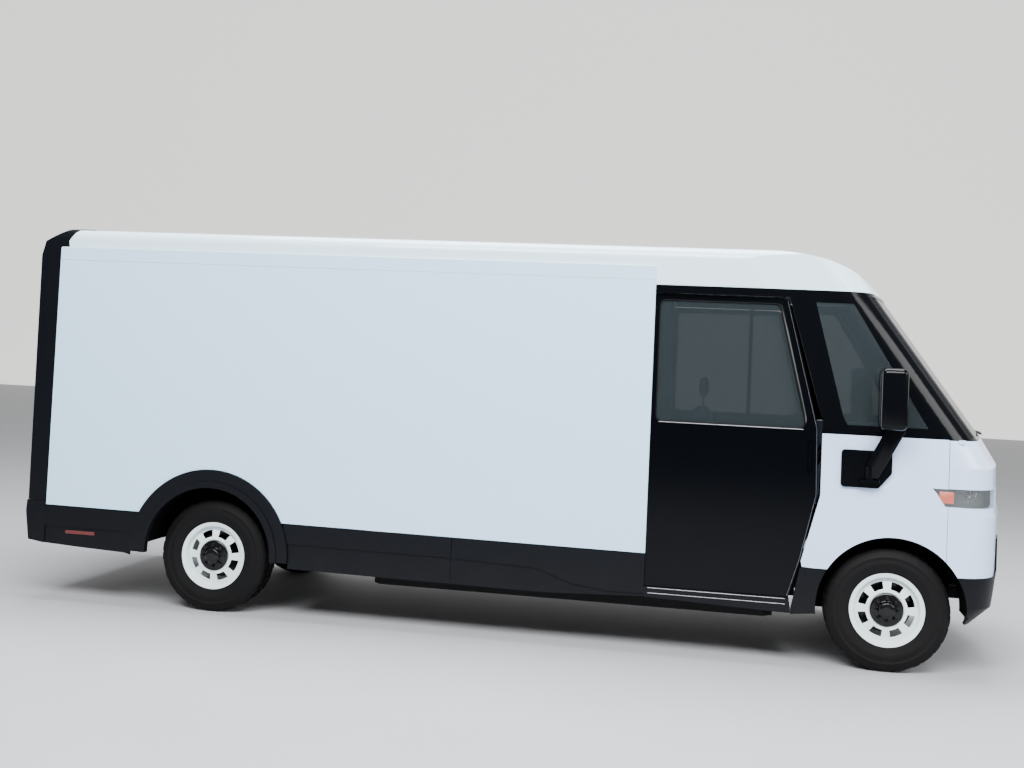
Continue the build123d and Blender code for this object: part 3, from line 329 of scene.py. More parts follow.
def rubberMaterial(name, base, scale):
    material, nodes, links, shader = newMaterial(name)
    dust = useGroup(nodes, roadDust, Top=0.9, Amount=0.05, Roughness=0.62)
    dust.inputs["Color"].default_value = (base, base, base * 1.15, 1)
    dust.inputs["Dust"].default_value = (0.06, 0.058, 0.06, 1)
    shader.inputs["Specular IOR Level"].default_value = 0.16
    grain = useGroup(nodes, surfaceGrain, Scale=scale, Depth=0.45, Wave=12.0, WaveDepth=0.01)
    links.new(dust.outputs["Color"], shader.inputs["Base Color"])
    links.new(dust.outputs["Roughness"], shader.inputs["Roughness"])
    links.new(grain.outputs["Normal"], shader.inputs["Normal"])
    return material


def clothMaterial(name, color):
    material, nodes, links, shader = newMaterial(name)
    coords = objectCoords(nodes)
    weave = nodes.new("ShaderNodeTexWave")
    weave.inputs["Scale"].default_value = 260.0
    weave.inputs["Distortion"].default_value = 1.5
    links.new(coords, weave.inputs["Vector"])
    cross = nodes.new("ShaderNodeTexWave")
    cross.bands_direction = "Y"
    cross.inputs["Scale"].default_value = 260.0
    links.new(coords, cross.inputs["Vector"])
    height = nodes.new("ShaderNodeMath")
    height.operation = "MULTIPLY"
    links.new(weave.outputs["Fac"], height.inputs[0])
    links.new(cross.outputs["Fac"], height.inputs[1])
    bump = nodes.new("ShaderNodeBump")
    bump.inputs["Strength"].default_value = 0.5
    bump.inputs["Distance"].default_value = 0.001
    links.new(height.outputs[0], bump.inputs["Height"])
    links.new(bump.outputs["Normal"], shader.inputs["Normal"])
    # cloth colour darker in the weave hollows: painted shade between the threads
    shade = nodes.new("ShaderNodeMix")
    shade.data_type = "RGBA"
    shade.inputs["A"].default_value = (*[c * 0.6 for c in color], 1)
    shade.inputs["B"].default_value = (*color, 1)
    links.new(height.outputs[0], shade.inputs["Factor"])
    links.new(shade.outputs["Result"], shader.inputs["Base Color"])
    shader.inputs["Roughness"].default_value = 0.9
    shader.inputs["Sheen Weight"].default_value = 0.3
    return material


materials = {name: paintMaterial(name) for name in finishes}
materials["castAluminium"] = metalMaterial("castAluminium", (0.55, 0.56, 0.58), 0.38, 4.0)
materials["brushedSteel"] = metalMaterial("brushedSteel", (0.50, 0.51, 0.53), 0.3, 9.0)
materials["mirrorSilver"] = metalMaterial("mirrorSilver", (0.85, 0.87, 0.88), 0.09, 0.5)
# silver for thin beads standing in for seal lips, the sill top and the skirt crease catching light:
# painted highlights
materials["highlightSilver"] = metalMaterial("highlightSilver", (0.30, 0.30, 0.32), 0.30, 6.0)
materials["tintedGlass"] = glassMaterial("tintedGlass", (0.022, 0.030, 0.034), 0.66)
materials["screenGlass"] = glassMaterial("screenGlass", (0.004, 0.005, 0.009), 0.80, spec=0.02)
materials["lensGlass"] = glassMaterial("lensGlass", (0.40, 0.43, 0.44), 0.16)
materials["amberLens"] = lampMaterial("amberLens", (0.72, 0.07, 0.002), 0.04, 60.0)
materials["redLens"] = lampMaterial("redLens", (0.12, 0.003, 0.004), 0.0, 60.0)
materials["chromeBowl"] = metalMaterial("chromeBowl", (0.80, 0.82, 0.84), 0.15, 2.0)
materials["tyreRubber"] = rubberMaterial("tyreRubber", 0.0018, 240.0)
materials["sealRubber"] = rubberMaterial("sealRubber", 0.0015, 300.0)
materials["seatCloth"] = clothMaterial("seatCloth", (0.035, 0.036, 0.042))
print("materials made:", len(materials))

# CAD node -> finish
nodeFinish = {
    "roof": "roofLitWhite",
    "side_panels": "bodyWhite",
    "wings": "wingWhite",
    "nose_panel": "wingWhite",
    "bonnet": "wingWhite",
    "rear_door": "bodyWhite",
    "cab_frame": "pillarBlack",
    "cab_door": "glossBlack",
    "rear_frame": "hoopBlack",
    "side_skirts": "claddingBlack",
    "arch_trims": "claddingBlack",
    "front_bumper": "claddingBlack",
    "rear_bumper": "claddingBlack",
    "wheel_liners": "linerBlack",
    "mirror_bases": "pillarBlack",
    "mirror_arm": "claddingBlack",
    "wiper": "dashPlastic",
    "dashboard": "dashPlastic",
    "steering_wheel": "dashPlastic",
    "rear_door_handle": "claddingBlack",
    "windscreen": "screenGlass",
    "quarter_glass": "tintedGlass",
    "cab_door_glass": "tintedGlass",
    "mirror_glass": "mirrorSilver",
    "headlamps": "lensGlass",
    "marker_lamps": "redLens",
    "tail_lamps": "redLens",
    "chassis_frame": "chassisIron",
    "rear_axle": "chassisIron",
    "leaf_springs": "chassisIron",
    "front_suspension": "chassisIron",
    "knuckle": "chassisIron",
    "floors": "underPaint",
    "battery_pack": "underPaint",
    "bulkhead_door": "castAluminium",
    "inner_walls": "greyPanel",
    "bulkhead": "greyPanel",
    "seat_base": "greyPanel",
    "seat_cushion": "seatCloth",
    "seat_back": "seatCloth",
    "brake_pedal": "brushedSteel",
    "accelerator_pedal": "brushedSteel",
    "tyre": "tyreRubber",
    "wheel": "wheelPaint",
    "hub": "capBlack",
}


def dressNodes():
    for name, obj in nodeObjects.items():
        stem = max((key for key in nodeFinish if name.startswith(key)), key=len)
        if not obj.material_slots:
            obj.data.materials.append(None)
        for place in obj.material_slots:
            place.material = materials[nodeFinish[stem]]


dressNodes()
print("nodes dressed")


# ---- modelling helpers, all on the active mesh
def activate(obj):
    bpy.ops.object.select_all(action="DESELECT")
    obj.select_set(True)
    bpy.context.view_layer.objects.active = obj


def settle(obj, name, material, body):
    activate(obj)
    bpy.ops.object.transform_apply(location=True, rotation=True, scale=True)
    obj.name = name
    obj.data.name = name
    obj.data.materials.clear()
    obj.data.materials.append(materials[material])
    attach(obj, body)
    obj.select_set(False)
    return obj


def addModifier(obj, kind, **values):
    modifier = obj.modifiers.new(kind.lower(), kind)
    for key, value in values.items():
        setattr(modifier, key, value)
    activate(obj)
    bpy.ops.object.modifier_apply(modifier=modifier.name)


def smooth(obj, angle=35):
    activate(obj)
    bpy.ops.object.shade_smooth_by_angle(angle=radians(angle))


def pickFaces(obj, test):
    bpy.ops.object.mode_set(mode="OBJECT")
    activate(obj)
    bpy.ops.object.mode_set(mode="EDIT")
    bpy.ops.mesh.select_all(action="DESELECT")
    bpy.ops.object.mode_set(mode="OBJECT")
    for polygon in obj.data.polygons:
        polygon.select = test(polygon)
    bpy.ops.object.mode_set(mode="EDIT")


def fixNormals(obj):
    activate(obj)
    bpy.ops.object.mode_set(mode="EDIT")
    bpy.ops.mesh.select_all(action="SELECT")
    bpy.ops.mesh.remove_doubles(threshold=0.00005)
    bpy.ops.mesh.normals_make_consistent(inside=False)
    bpy.ops.object.mode_set(mode="OBJECT")


# A turned shape: a circle about Y, extruded ring by ring through (radius, outboard) pairs
def turned(centre, profile, side, segments, closed):
    radius, depth = profile[0]
    place = (centre[0], centre[1] + side * depth, centre[2])
    bpy.ops.mesh.primitive_circle_add(
        vertices=segments, radius=radius, location=place, rotation=(pi / 2, 0, 0)
    )
    obj = bpy.context.object
    bpy.ops.object.transform_apply(location=True, rotation=True, scale=True)
    bpy.ops.object.mode_set(mode="EDIT")
    bpy.ops.mesh.select_all(action="SELECT")
    last = profile[0]
    for ring in profile[1:]:
        move = (0, side * (ring[1] - last[1]), 0)
        bpy.ops.mesh.extrude_region_move(TRANSFORM_OT_translate={"value": move})
        grow = ring[0] / last[0]
        bpy.ops.transform.resize(value=(grow, 1, grow), center_override=centre)
        last = ring
    if closed:
        bpy.ops.mesh.select_all(action="SELECT")
        bpy.ops.mesh.remove_doubles(threshold=0.00005)
    bpy.ops.object.mode_set(mode="OBJECT")
    return obj


# A round-cornered block between two corners
def roundedBlock(low, high, bevel, segments=3):
    centre = [(a + b) / 2 for a, b in zip(low, high)]
    bpy.ops.mesh.primitive_cube_add(size=1, location=centre)
    obj = bpy.context.object
    obj.scale = [b - a for a, b in zip(low, high)]
    bpy.ops.object.transform_apply(location=True, rotation=True, scale=True)
    addModifier(obj, "BEVEL", width=bevel, segments=segments, limit_method="ANGLE")
    smooth(obj)
    return obj


# A thin bead that follows points; closed beads run all the way round
def bead(points, radius, closed, flat=1.0):
    curve = bpy.data.curves.new("bead", "CURVE")
    curve.dimensions = "3D"
    curve.bevel_depth = radius
    curve.bevel_resolution = 2
    curve.resolution_u = 6
    spline = curve.splines.new("POLY")
    spline.points.add(len(points) - 1)
    for point, place in zip(spline.points, points):
        point.co = (*place, 1)
    spline.use_cyclic_u = closed
    curve.use_fill_caps = not closed
    obj = bpy.data.objects.new("bead", curve)
    bpy.context.collection.objects.link(obj)
    activate(obj)
    bpy.ops.object.convert(target="MESH")
    obj = bpy.context.object
    smooth(obj, 60)
    return obj


def joined(objects):
    activate(objects[0])
    for obj in objects:
        obj.select_set(True)
    bpy.ops.object.join()
    return bpy.context.object


def corner(points, radius, steps=5):
    # rounds the corners of a closed outline that lies at one y
    rounded = []
    count = len(points)
    for i, here in enumerate(points):
        here = Vector(here)
        before = Vector(points[i - 1]) - here
        after = Vector(points[(i + 1) % count]) - here
        turn = (pi - before.angle(after)) / 2
        reach = min(radius * sin(turn) / cos(turn), before.length * 0.45, after.length * 0.45)
        start = here + before.normalized() * reach
        end = here + after.normalized() * reach
        for k in range(steps + 1):
            t = k / steps
            rounded.append(tuple(start.lerp(here, t).lerp(here.lerp(end, t), t)))
    return rounded


# ---- wheels
tyreSpec = dict(
    segments=150,
    strips=(0.088, 0.064, 0.056, 0.034, 0.026, 0.0),
    seat=0.2183,
    groove=0.008,
    siping=0.0035,
)
wheelCorners = {
    "front_right": -1,
    "front_left": 1,
    "rear_right": -1,
    "rear_left": 1,
}


def wheelCentre(cornerName):
    low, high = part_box("tyre_" + cornerName)
    return Vector([(a + b) / 2 for a, b in zip(low, high)])


def makeTyre():
    low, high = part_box("tyre_rear_right")
    outer = (high[2] - low[2]) / 2
    halfWide = (high[1] - low[1]) / 2
    seat = tyreSpec["seat"]
    treads = tyreSpec["strips"]
    side = [
        (seat, 0.074),
        (seat, 0.096),
        (seat + 0.024, 0.106),
        (seat + 0.032, 0.110),
        (seat + 0.036, 0.110),
        (0.285, halfWide - 0.002),
        (0.310, halfWide),
        (0.316, halfWide - 0.002),
        (0.335, halfWide - 0.003),
        (0.341, halfWide - 0.001),
        (0.362, halfWide - 0.008),
        (0.378, halfWide - 0.015),
        (outer - 0.006, halfWide - 0.026),
    ]
    tread = [(outer - 0.0005 * k * k, d) for k, d in zip((2, 1, 0, 0, 0, 0), treads)]
    half = side + tread
    profile = half + [(r, -d) for r, d in reversed(half[:-1])]
    inner = [(seat + 0.03, -0.09), (0.3, -halfWide + 0.014), (outer - 0.03, -0.08)]
    profile = profile + inner + [(r, -d) for r, d in reversed(inner)] + [profile[0]]
    obj = turned((0, 0, 0), profile, 1, tyreSpec["segments"], True)
    fixNormals(obj)
    activate(obj)

    def bandOf(polygon):
        centre = polygon.center
        radial = (centre.x**2 + centre.z**2) ** 0.5
        return radial, abs(centre.y)

    def isGroove(polygon):
        radial, across = bandOf(polygon)
        inGroove = treads[2] < across < treads[1] or treads[4] < across < treads[3]
        return radial > outer - 0.012 and inGroove

    def isLug(polygon):
        radial, across = bandOf(polygon)
        turn = degrees(atan2(polygon.center.z, polygon.center.x)) % 360
        step = int(turn / (360 / tyreSpec["segments"]))
        shift = 1 if polygon.center.y > 0 else 0
        shoulder = across > treads[1] and radial > 0.384
        middle = across < treads[4] and radial > outer - 0.012
        return (shoulder and (step + shift) % 3 == 0) or (middle and (step + 2) % 4 == 0)

    for test, depth in ((isGroove, tyreSpec["groove"]), (isLug, tyreSpec["siping"])):
        pickFaces(obj, test)
        bpy.ops.mesh.extrude_region_shrink_fatten(TRANSFORM_OT_shrink_fatten={"value": -depth})
        bpy.ops.mesh.select_all(action="DESELECT")
    bpy.ops.object.mode_set(mode="OBJECT")
    smooth(obj, 28)
    return obj


wheelSpec = dict(holes=8, perHole=6, holeInner=0.128, holeOuter=0.186, sheet=0.007)


def makeWheel():
    count = wheelSpec["holes"] * wheelSpec["perHole"] * 2
    barrel = [
        (0.2375, 0.112),
        (0.2375, 0.107),
        (0.2185, 0.1005),
        (0.2180, -0.100),
        (0.2375, -0.106),
        (0.2375, -0.112),
        (0.2120, -0.104),
        (0.2120, 0.040),
        (0.2040, 0.064),
        (0.2055, 0.088),
        (0.2100, 0.104),
        (0.2250, 0.109),
        (0.2375, 0.112),
    ]
    rim = turned((0, 0, 0), barrel, -1, count, True)
    fixNormals(rim)
    smooth(rim)
    face = [
        (0.2115, 0.056),
        (0.204, 0.062),
        (wheelSpec["holeOuter"], 0.0685),
        (wheelSpec["holeInner"], 0.0880),
        (0.114, 0.0900),
        (0.104, 0.0780),
        (0.088, 0.0640),
        (0.040, 0.0600),
    ]
    disc = turned((0, 0, 0), face, -1, count, False)
    perHole = count // wheelSpec["holes"]

    def isHole(polygon):
        centre = polygon.center
        radial = (centre.x**2 + centre.z**2) ** 0.5
        step = int((degrees(atan2(centre.z, centre.x)) % 360) / (360 / count)) % perHole
        inBand = wheelSpec["holeInner"] < radial < wheelSpec["holeOuter"]
        return inBand and 2 <= step < perHole - 2

    activate(disc)
    pickFaces(disc, isHole)
    bpy.ops.mesh.inset(thickness=0.005, depth=-0.001)
    bpy.ops.mesh.delete(type="FACE")
    bpy.ops.object.mode_set(mode="OBJECT")
    fixNormals(disc)
    addModifier(disc, "SOLIDIFY", thickness=wheelSpec["sheet"], offset=0.0)
    addModifier(disc, "BEVEL", width=0.0016, segments=2, limit_method="ANGLE")
    smooth(disc)
    return joined([rim, disc])


capSpec = dict(nuts=8, nutCircle=0.078, nutRadius=0.0125, nutLength=0.022, boss=0.052)


def makeCap():
    profile = [
        (0.020, 0.056),
        (0.060, 0.058),
        (0.062, 0.088),
        (0.104, 0.089),
        (0.106, 0.092),
        (0.106, 0.099),
        (0.102, 0.102),
        (0.092, 0.104),
        (0.064, 0.106),
        (0.058, 0.109),
        (capSpec["boss"], 0.132),
        (0.046, 0.137),
        (0.020, 0.1375),
        (0.001, 0.1378),
    ]
    cap = turned((0, 0, 0), profile, -1, 64, True)
    activate(cap)
    bpy.ops.object.mode_set(mode="EDIT")
    bpy.ops.mesh.select_all(action="DESELECT")
    bpy.ops.mesh.select_non_manifold()
    bpy.ops.mesh.edge_face_add()
    bpy.ops.object.mode_set(mode="OBJECT")
    fixNormals(cap)
    smooth(cap, 40)
    pieces = [cap]
    for i in range(capSpec["nuts"]):
        turn = 2 * pi * i / capSpec["nuts"]
        place = (capSpec["nutCircle"] * cos(turn), -0.113, capSpec["nutCircle"] * sin(turn))
        bpy.ops.mesh.primitive_cylinder_add(
            vertices=6,
            radius=capSpec["nutRadius"],
            depth=capSpec["nutLength"],
            location=place,
            rotation=(pi / 2, 0, 0),
        )
        nut = bpy.context.object
        bpy.ops.object.transform_apply(location=True, rotation=True, scale=True)
        addModifier(nut, "BEVEL", width=0.0025, segments=2, limit_method="ANGLE")
        smooth(nut)
        pieces.append(nut)
    brake = [(0.062, -0.066), (0.168, -0.066), (0.168, -0.042), (0.062, -0.042), (0.062, -0.066)]
    disc = turned((0, 0, 0), brake, -1, 64, True)
    fixNormals(disc)
    smooth(disc)
    pieces.append(disc)
    return joined(pieces)


def makeWheels():
    makers = {
        "tyre": (makeTyre, "treaded_tyre_", "tyreRubber", "tyre"),
        "wheel": (makeWheel, "steel_wheel_", "wheelPaint", "wheel_white"),
        "hub": (makeCap, "wheel_cap_", "capBlack", "black_trim"),
    }
    for stem, (maker, pieceName, material, slotName) in makers.items():
        pattern = maker()
        bpy.ops.object.transform_apply(location=True, rotation=True, scale=True)
        for cornerName, side in wheelCorners.items():
            node = f"{stem}_{cornerName}"
            copy = pattern.copy()
            copy.data = pattern.data.copy()
            bpy.context.collection.objects.link(copy)
            turn = Matrix.Rotation(pi if side > 0 else 0, 4, "Z")
            copy.data.transform(Matrix.Translation(wheelCentre(cornerName)) @ turn)
            body = "wheel_unit_" + cornerName
            settle(copy, pieceName + cornerName, material, body)
            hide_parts(node)
        bpy.data.objects.remove(pattern)
        print("wheel pieces:", stem)


makeWheels()


# ---- seals and beads on the body; the silver beads are painted highlights
sideWord = {-1: "right", 1: "left"}
doorSpec = dict(barBack=0.604, barHalf=0.0115, barInner=0.0268, barOuter=0.0118)
trimSpec = dict(seal=0.005, bright=0.0028, line=0.0022, corner=0.045, sillHighlightDrops=(0.006, 0.040))


def bothSides(make):
    for side in (-1, 1):
        make(side)


# The cab door's outline in side view, from its CAD box
def doorOutline(side):
    low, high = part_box(f"cab_door_{sideWord[side]}")
    y = high[1] if side > 0 else low[1]
    front = high[0]
    points = [
        (low[0], low[2]),
        (low[0], high[2]),
        (front - 0.224, high[2]),
        (front - 0.010, 1.552),
        (front, 1.120),
        (front - 0.094, 0.690),
        (front - 0.164, low[2]),
    ]
    return [(x, y, z) for x, z in points]


def glassOutline(side):
    low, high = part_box(f"cab_door_glass_{sideWord[side]}")
    doorLow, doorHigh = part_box(f"cab_door_{sideWord[side]}")
    y = doorHigh[1] if side > 0 else doorLow[1]
    points = [(low[0], low[2]), (low[0], high[2]), (high[0] - 0.198, high[2]), (high[0], low[2])]
    return [(x, y - side * 0.004, z) for x, z in points]


def makeDoorTrim(side):
    word = sideWord[side]
    body = "cab_door_unit_" + word
    glass = corner(glassOutline(side), trimSpec["corner"])
    seal = bead(glass, trimSpec["seal"], True)
    settle(seal, "door_glass_seal_" + word, "sealRubber", body)
    low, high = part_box(f"cab_door_glass_{word}")
    # silver line along the foot of the window: a painted highlight on the seal lip
    y = glass[0][1] + side * 0.0045
    z = low[2] - 0.006
    foot = bead([(low[0] + 0.02, y, z), (high[0] - 0.02, y, z)], trimSpec["bright"], False)
    settle(foot, "door_waist_highlight_" + word, "highlightSilver", body)
    barX = low[0] + doorSpec["barBack"]
    y0, y1 = sorted(glass[0][1] - side * doorSpec[edge] for edge in ("barInner", "barOuter"))
    barLow = (barX - doorSpec["barHalf"], y0, low[2] + 0.007)
    barHigh = (barX + doorSpec["barHalf"], y1, high[2] - 0.006)
    bar = roundedBlock(barLow, barHigh, 0.002, 2)
    settle(bar, "door_window_bar_" + word, "pillarBlack", body)
    # silver line along the door's front edge: a painted highlight where the rubber seal catches
    # light
    edge = [(x - 0.006, y, z) for x, y, z in doorOutline(side)[2:]]
    edge[0] = (edge[0][0], edge[0][1], edge[0][2] - 0.02)
    edge[-1] = (edge[-1][0], edge[-1][1], edge[-1][2] + 0.01)
    line = bead(edge[:1] + corner(edge, 0.09)[6:-6] + edge[-1:], trimSpec["line"], False)
    settle(line, "door_edge_highlight_" + word, "highlightSilver", body)


# Two silver lines under the door: painted highlights for the sill top and the skirt crease catching
# light
def makeSillHighlights(side):
    word = sideWord[side]
    doorLow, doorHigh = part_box(f"cab_door_{word}")
    y = side * (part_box("side_skirts")[1][1] - 0.0035)
    start, end = doorLow[0] + 0.04, doorHigh[0] - 0.18
    lines = []
    for drop in trimSpec["sillHighlightDrops"]:
        z = doorLow[2] - drop
        lines.append(bead([(start, y, z), (end, y, z)], trimSpec["bright"], False))
    settle(joined(lines), "sill_bright_strips_" + word, "highlightSilver", "truck")


bothSides(makeDoorTrim)
bothSides(makeSillHighlights)
print("seals and trim done")


railSpec = dict(seamLow=2.4845, seamHigh=2.4872, seamOut=0.0006, seamIn=0.004)


# Ledge along the top of the cargo side, and the seam line below it
def makeSideRails(side):
    low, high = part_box("side_panels")
    y0, y1 = sorted((side * (high[1] - 0.022), side * (high[1] - 0.0005)))
    ledgeLow = (low[0] + 0.004, y0, high[2] - 0.001)
    ledgeHigh = (high[0] - 0.004, y1, high[2] + 0.0055)
    ledge = roundedBlock(ledgeLow, ledgeHigh, 0.002)
    # the ledge takes the roof's lighter white, a painted highlight
    settle(ledge, "roof_ledge_strip_" + sideWord[side], "roofLitWhite", "truck")
    y2, y3 = sorted((side * (high[1] - railSpec["seamIn"]), side * (high[1] + railSpec["seamOut"])))
    seamLow = (low[0] + 0.002, y2, railSpec["seamLow"])
    seamHigh = (high[0] - 0.002, y3, railSpec["seamHigh"])
    seam = roundedBlock(seamLow, seamHigh, 0.0008, 2)
    settle(seam, "side_seam_line_" + sideWord[side], "greyPanel", "truck")


bothSides(makeSideRails)


# ---- dark covers: wheel aprons ahead of and behind each front wheel, and the sill ends
shieldSpec = dict(inner=0.455, outer=0.480, near=0.085, far=0.45, low=0.30, high=0.90)
apronSpec = dict(inner=0.492, outer=0.497, near=0.662, far=0.985, low=-2, sweep=46, steps=18)
sillSpec = dict(inner=0.9625, outer=0.985, rear=0.235, front=0.122, low=0.45, high=0.70)


def makeApron(side, start, sweep, name):
    axle = wheelCentre("front_" + sideWord[side])
    reach = (apronSpec["inner"] + apronSpec["outer"]) / 2
    y = side * (apronSpec["near"] + apronSpec["far"]) / 2
    bpy.ops.mesh.primitive_plane_add(size=1, location=(axle.x + reach, y, axle.z))
    obj = bpy.context.object
    obj.scale = (apronSpec["outer"] - apronSpec["inner"], apronSpec["far"] - apronSpec["near"], 1)
    bpy.ops.object.transform_apply(location=True, rotation=True, scale=True)
    bpy.ops.object.mode_set(mode="EDIT")
    bpy.ops.mesh.select_all(action="SELECT")
    bpy.ops.transform.rotate(value=radians(start), orient_axis="Y", center_override=tuple(axle))
    steps = apronSpec["steps"]
    bpy.ops.mesh.spin(steps=steps, angle=radians(sweep), center=tuple(axle), axis=(0, 1, 0))
    bpy.ops.object.mode_set(mode="OBJECT")
    fixNormals(obj)
    smooth(obj)
    settle(obj, name + sideWord[side], "linerBlack", "truck")


def makeCovers(side):
    makeApron(side, apronSpec["low"], apronSpec["sweep"], "front_wheel_apron_")
    makeApron(side, 180 - apronSpec["low"], -apronSpec["sweep"], "rear_wheel_apron_")
    axle = wheelCentre("front_" + sideWord[side])
    y0, y1 = sorted((side * shieldSpec["inner"], side * shieldSpec["outer"]))
    for end, word in ((1, "front"), (-1, "rear")):
        x0, x1 = sorted((axle.x + end * shieldSpec["near"], axle.x + end * shieldSpec["far"]))
        shield = roundedBlock((x0, y0, shieldSpec["low"]), (x1, y1, shieldSpec["high"]), 0.004, 2)
        settle(shield, f"{word}_wheel_shield_{sideWord[side]}", "linerBlack", "truck")
    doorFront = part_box(f"cab_door_{sideWord[side]}")[1][0]
    y0, y1 = sorted((side * sillSpec["inner"], side * sillSpec["outer"]))
    plateLow = (doorFront - sillSpec["rear"], y0, sillSpec["low"])
    plateHigh = (doorFront - sillSpec["front"], y1, sillSpec["high"])
    plate = roundedBlock(plateLow, plateHigh, 0.003, 2)
    settle(plate, "sill_end_cover_" + sideWord[side], "linerBlack", "truck")


bothSides(makeCovers)
print("covers done")

# ---- lamps
lampSpec = dict(amberRear=0.045, amberFront=0.135, bowl=0.040, bowlSheet=0.003)


def makeLampInsides(side):
    low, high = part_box("headlamps")
    word = sideWord[side]
    y0, y1 = sorted((side * (high[1] - 0.026), side * (high[1] - 0.0145)))
    amberLow = (low[0] + lampSpec["amberRear"], y0, low[2] + 0.024)
    amberHigh = (low[0] + lampSpec["amberFront"], y1, high[2] - 0.016)
    amber = roundedBlock(amberLow, amberHigh, 0.004)
    settle(amber, "turn_lamp_" + word, "amberLens", "truck")
    for number, (x, inward) in enumerate(((high[0] - 0.150, 0.245), (high[0] - 0.095, 0.375)), 1):
        centre = (x - 0.055, side * (high[1] - inward), (low[2] + high[2]) / 2)
        bpy.ops.mesh.primitive_uv_sphere_add(
            segments=32, ring_count=16, radius=lampSpec["bowl"], location=centre
        )
        bowl = bpy.context.object
        bowl.scale = (0.7, 1, 1)
        bpy.ops.object.transform_apply(location=True, rotation=True, scale=True)
        activate(bowl)
        front = centre[0] + 0.008
        pickFaces(bowl, lambda polygon: polygon.center.x > front)
        bpy.ops.mesh.delete(type="FACE")
        bpy.ops.object.mode_set(mode="OBJECT")
        addModifier(bowl, "SOLIDIFY", thickness=lampSpec["bowlSheet"])
        smooth(bowl)
        settle(bowl, f"lamp_bowl_{word}_{number}", "chromeBowl", "truck")


bothSides(makeLampInsides)
print("lamps done")


# ---- rear door glass
rearGlassSpec = dict(inner=0.164, outer=0.796, low=1.724, high=2.296, recess=0.0175, thick=0.0052)


def makeRearGlass(side):
    word = sideWord[side]
    spec = rearGlassSpec
    y0, y1 = sorted((side * spec["inner"], side * spec["outer"]))
    z0, z1 = spec["low"], spec["high"]
    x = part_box("rear_door_" + word)[0][0] + spec["recess"]
    pane = roundedBlock((x, y0, z0), (x + spec["thick"], y1, z1), 0.0015, 2)
    settle(pane, "rear_door_glass_" + word, "tintedGlass", "rear_door_unit_" + word)
    outline = [(x, y0, z0), (x, y0, z1), (x, y1, z1), (x, y1, z0)]
    seal = bead(corner(outline, 0.03), 0.005, True)
    settle(seal, "rear_glass_seal_" + word, "sealRubber", "rear_door_unit_" + word)


bothSides(makeRearGlass)

# ---- driver's seat
seatSpec = dict(voxel=0.012, pressure=4.0, cap=0.014, shrink=0.012)


def makePad(low, high, name, lean=0.0):
    shrink = seatSpec["shrink"]
    low = [v + shrink for v in low]
    high = [v - shrink for v in high]
    pad = roundedBlock(low, high, 0.045, 4)
    if lean:
        activate(pad)
        bpy.ops.object.mode_set(mode="OBJECT")
        top = high[2]
        tall = high[2] - low[2]
        for vertex in pad.data.vertices:
            rise = (vertex.co.z - low[2]) / tall
            vertex.co.x -= lean * rise
    addModifier(pad, "REMESH", mode="VOXEL", voxel_size=seatSpec["voxel"])
    start = [v.co.copy() for v in pad.data.vertices]
    activate(pad)
    cloth = pad.modifiers.new("cloth", "CLOTH")
    cloth.settings.use_pressure = True
    cloth.settings.uniform_pressure_force = seatSpec["pressure"]
    cloth.settings.effector_weights.gravity = 0
    cloth.point_cache.frame_start = 1
    cloth.point_cache.frame_end = 20
    for step in range(1, 21):
        bpy.context.scene.frame_set(step)
    bpy.ops.object.modifier_apply(modifier=cloth.name)
    bpy.context.scene.frame_set(1)
    for vertex, place in zip(pad.data.vertices, start):
        move = vertex.co - place
        if move.length > seatSpec["cap"]:
            vertex.co = place + move.normalized() * seatSpec["cap"]
    addModifier(pad, "SUBSURF", levels=1, render_levels=1)
    smooth(pad, 80)
    settle(pad, name, "seatCloth", "driver_seat")
    return pad


def makeSeat():
    low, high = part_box("seat_cushion")
    base = makePad(low, high, "seat_pad")
    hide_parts("seat_cushion")
    low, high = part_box("seat_back")
    backLow = (high[0] - 0.150, low[1], low[2] + 0.004)
    backHigh = (high[0] - 0.002, high[1], low[2] + 0.660)
    back = makePad(backLow, backHigh, "back_pad", 0.085)
    middle = (low[1] + high[1]) / 2
    headLow = (low[0] + 0.004, middle - 0.13, high[2] - 0.185)
    headHigh = (low[0] + 0.094, middle + 0.13, high[2] - 0.003)
    head = makePad(headLow, headHigh, "head_pad")
    posts = []
    for shift in (-0.06, 0.06):
        place = (low[0] + 0.047, middle + shift, high[2] - 0.20)
        bpy.ops.mesh.primitive_cylinder_add(vertices=20, radius=0.006, depth=0.12, location=place)
        post = bpy.context.object
        bpy.ops.object.transform_apply(location=True, rotation=True, scale=True)
        addModifier(post, "BEVEL", width=0.001, segments=2, limit_method="ANGLE")
        smooth(post)
        posts.append(post)
    settle(joined(posts), "head_rest_posts", "brushedSteel", "driver_seat")
    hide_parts("seat_back")
    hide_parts("seat_back")
    print("seat done")


makeSeat()


# ---- mirrors: rounded head with a recess for the glass, and a flat cranked arm
mirrorSpec = dict(
    bevel=0.036,
    rim=0.0036,
    recess=0.0075,
    armBevel=0.007,
    eyeRadius=0.0265,
    eyeHeight=0.078,
)


def flatShape(outline, depth):
    # a filled outline in (x, z), pushed across by depth
    count = len(outline)
    bpy.ops.mesh.primitive_circle_add(vertices=count, radius=1, fill_type="NGON")
    obj = bpy.context.object
    for vertex, (x, y, z) in zip(obj.data.vertices, outline):
        vertex.co = (x, y, z)
    bpy.ops.object.mode_set(mode="EDIT")
    bpy.ops.mesh.select_all(action="SELECT")
    bpy.ops.mesh.extrude_region_move(TRANSFORM_OT_translate={"value": (0, depth, 0)})
    bpy.ops.object.mode_set(mode="OBJECT")
    fixNormals(obj)
    return obj


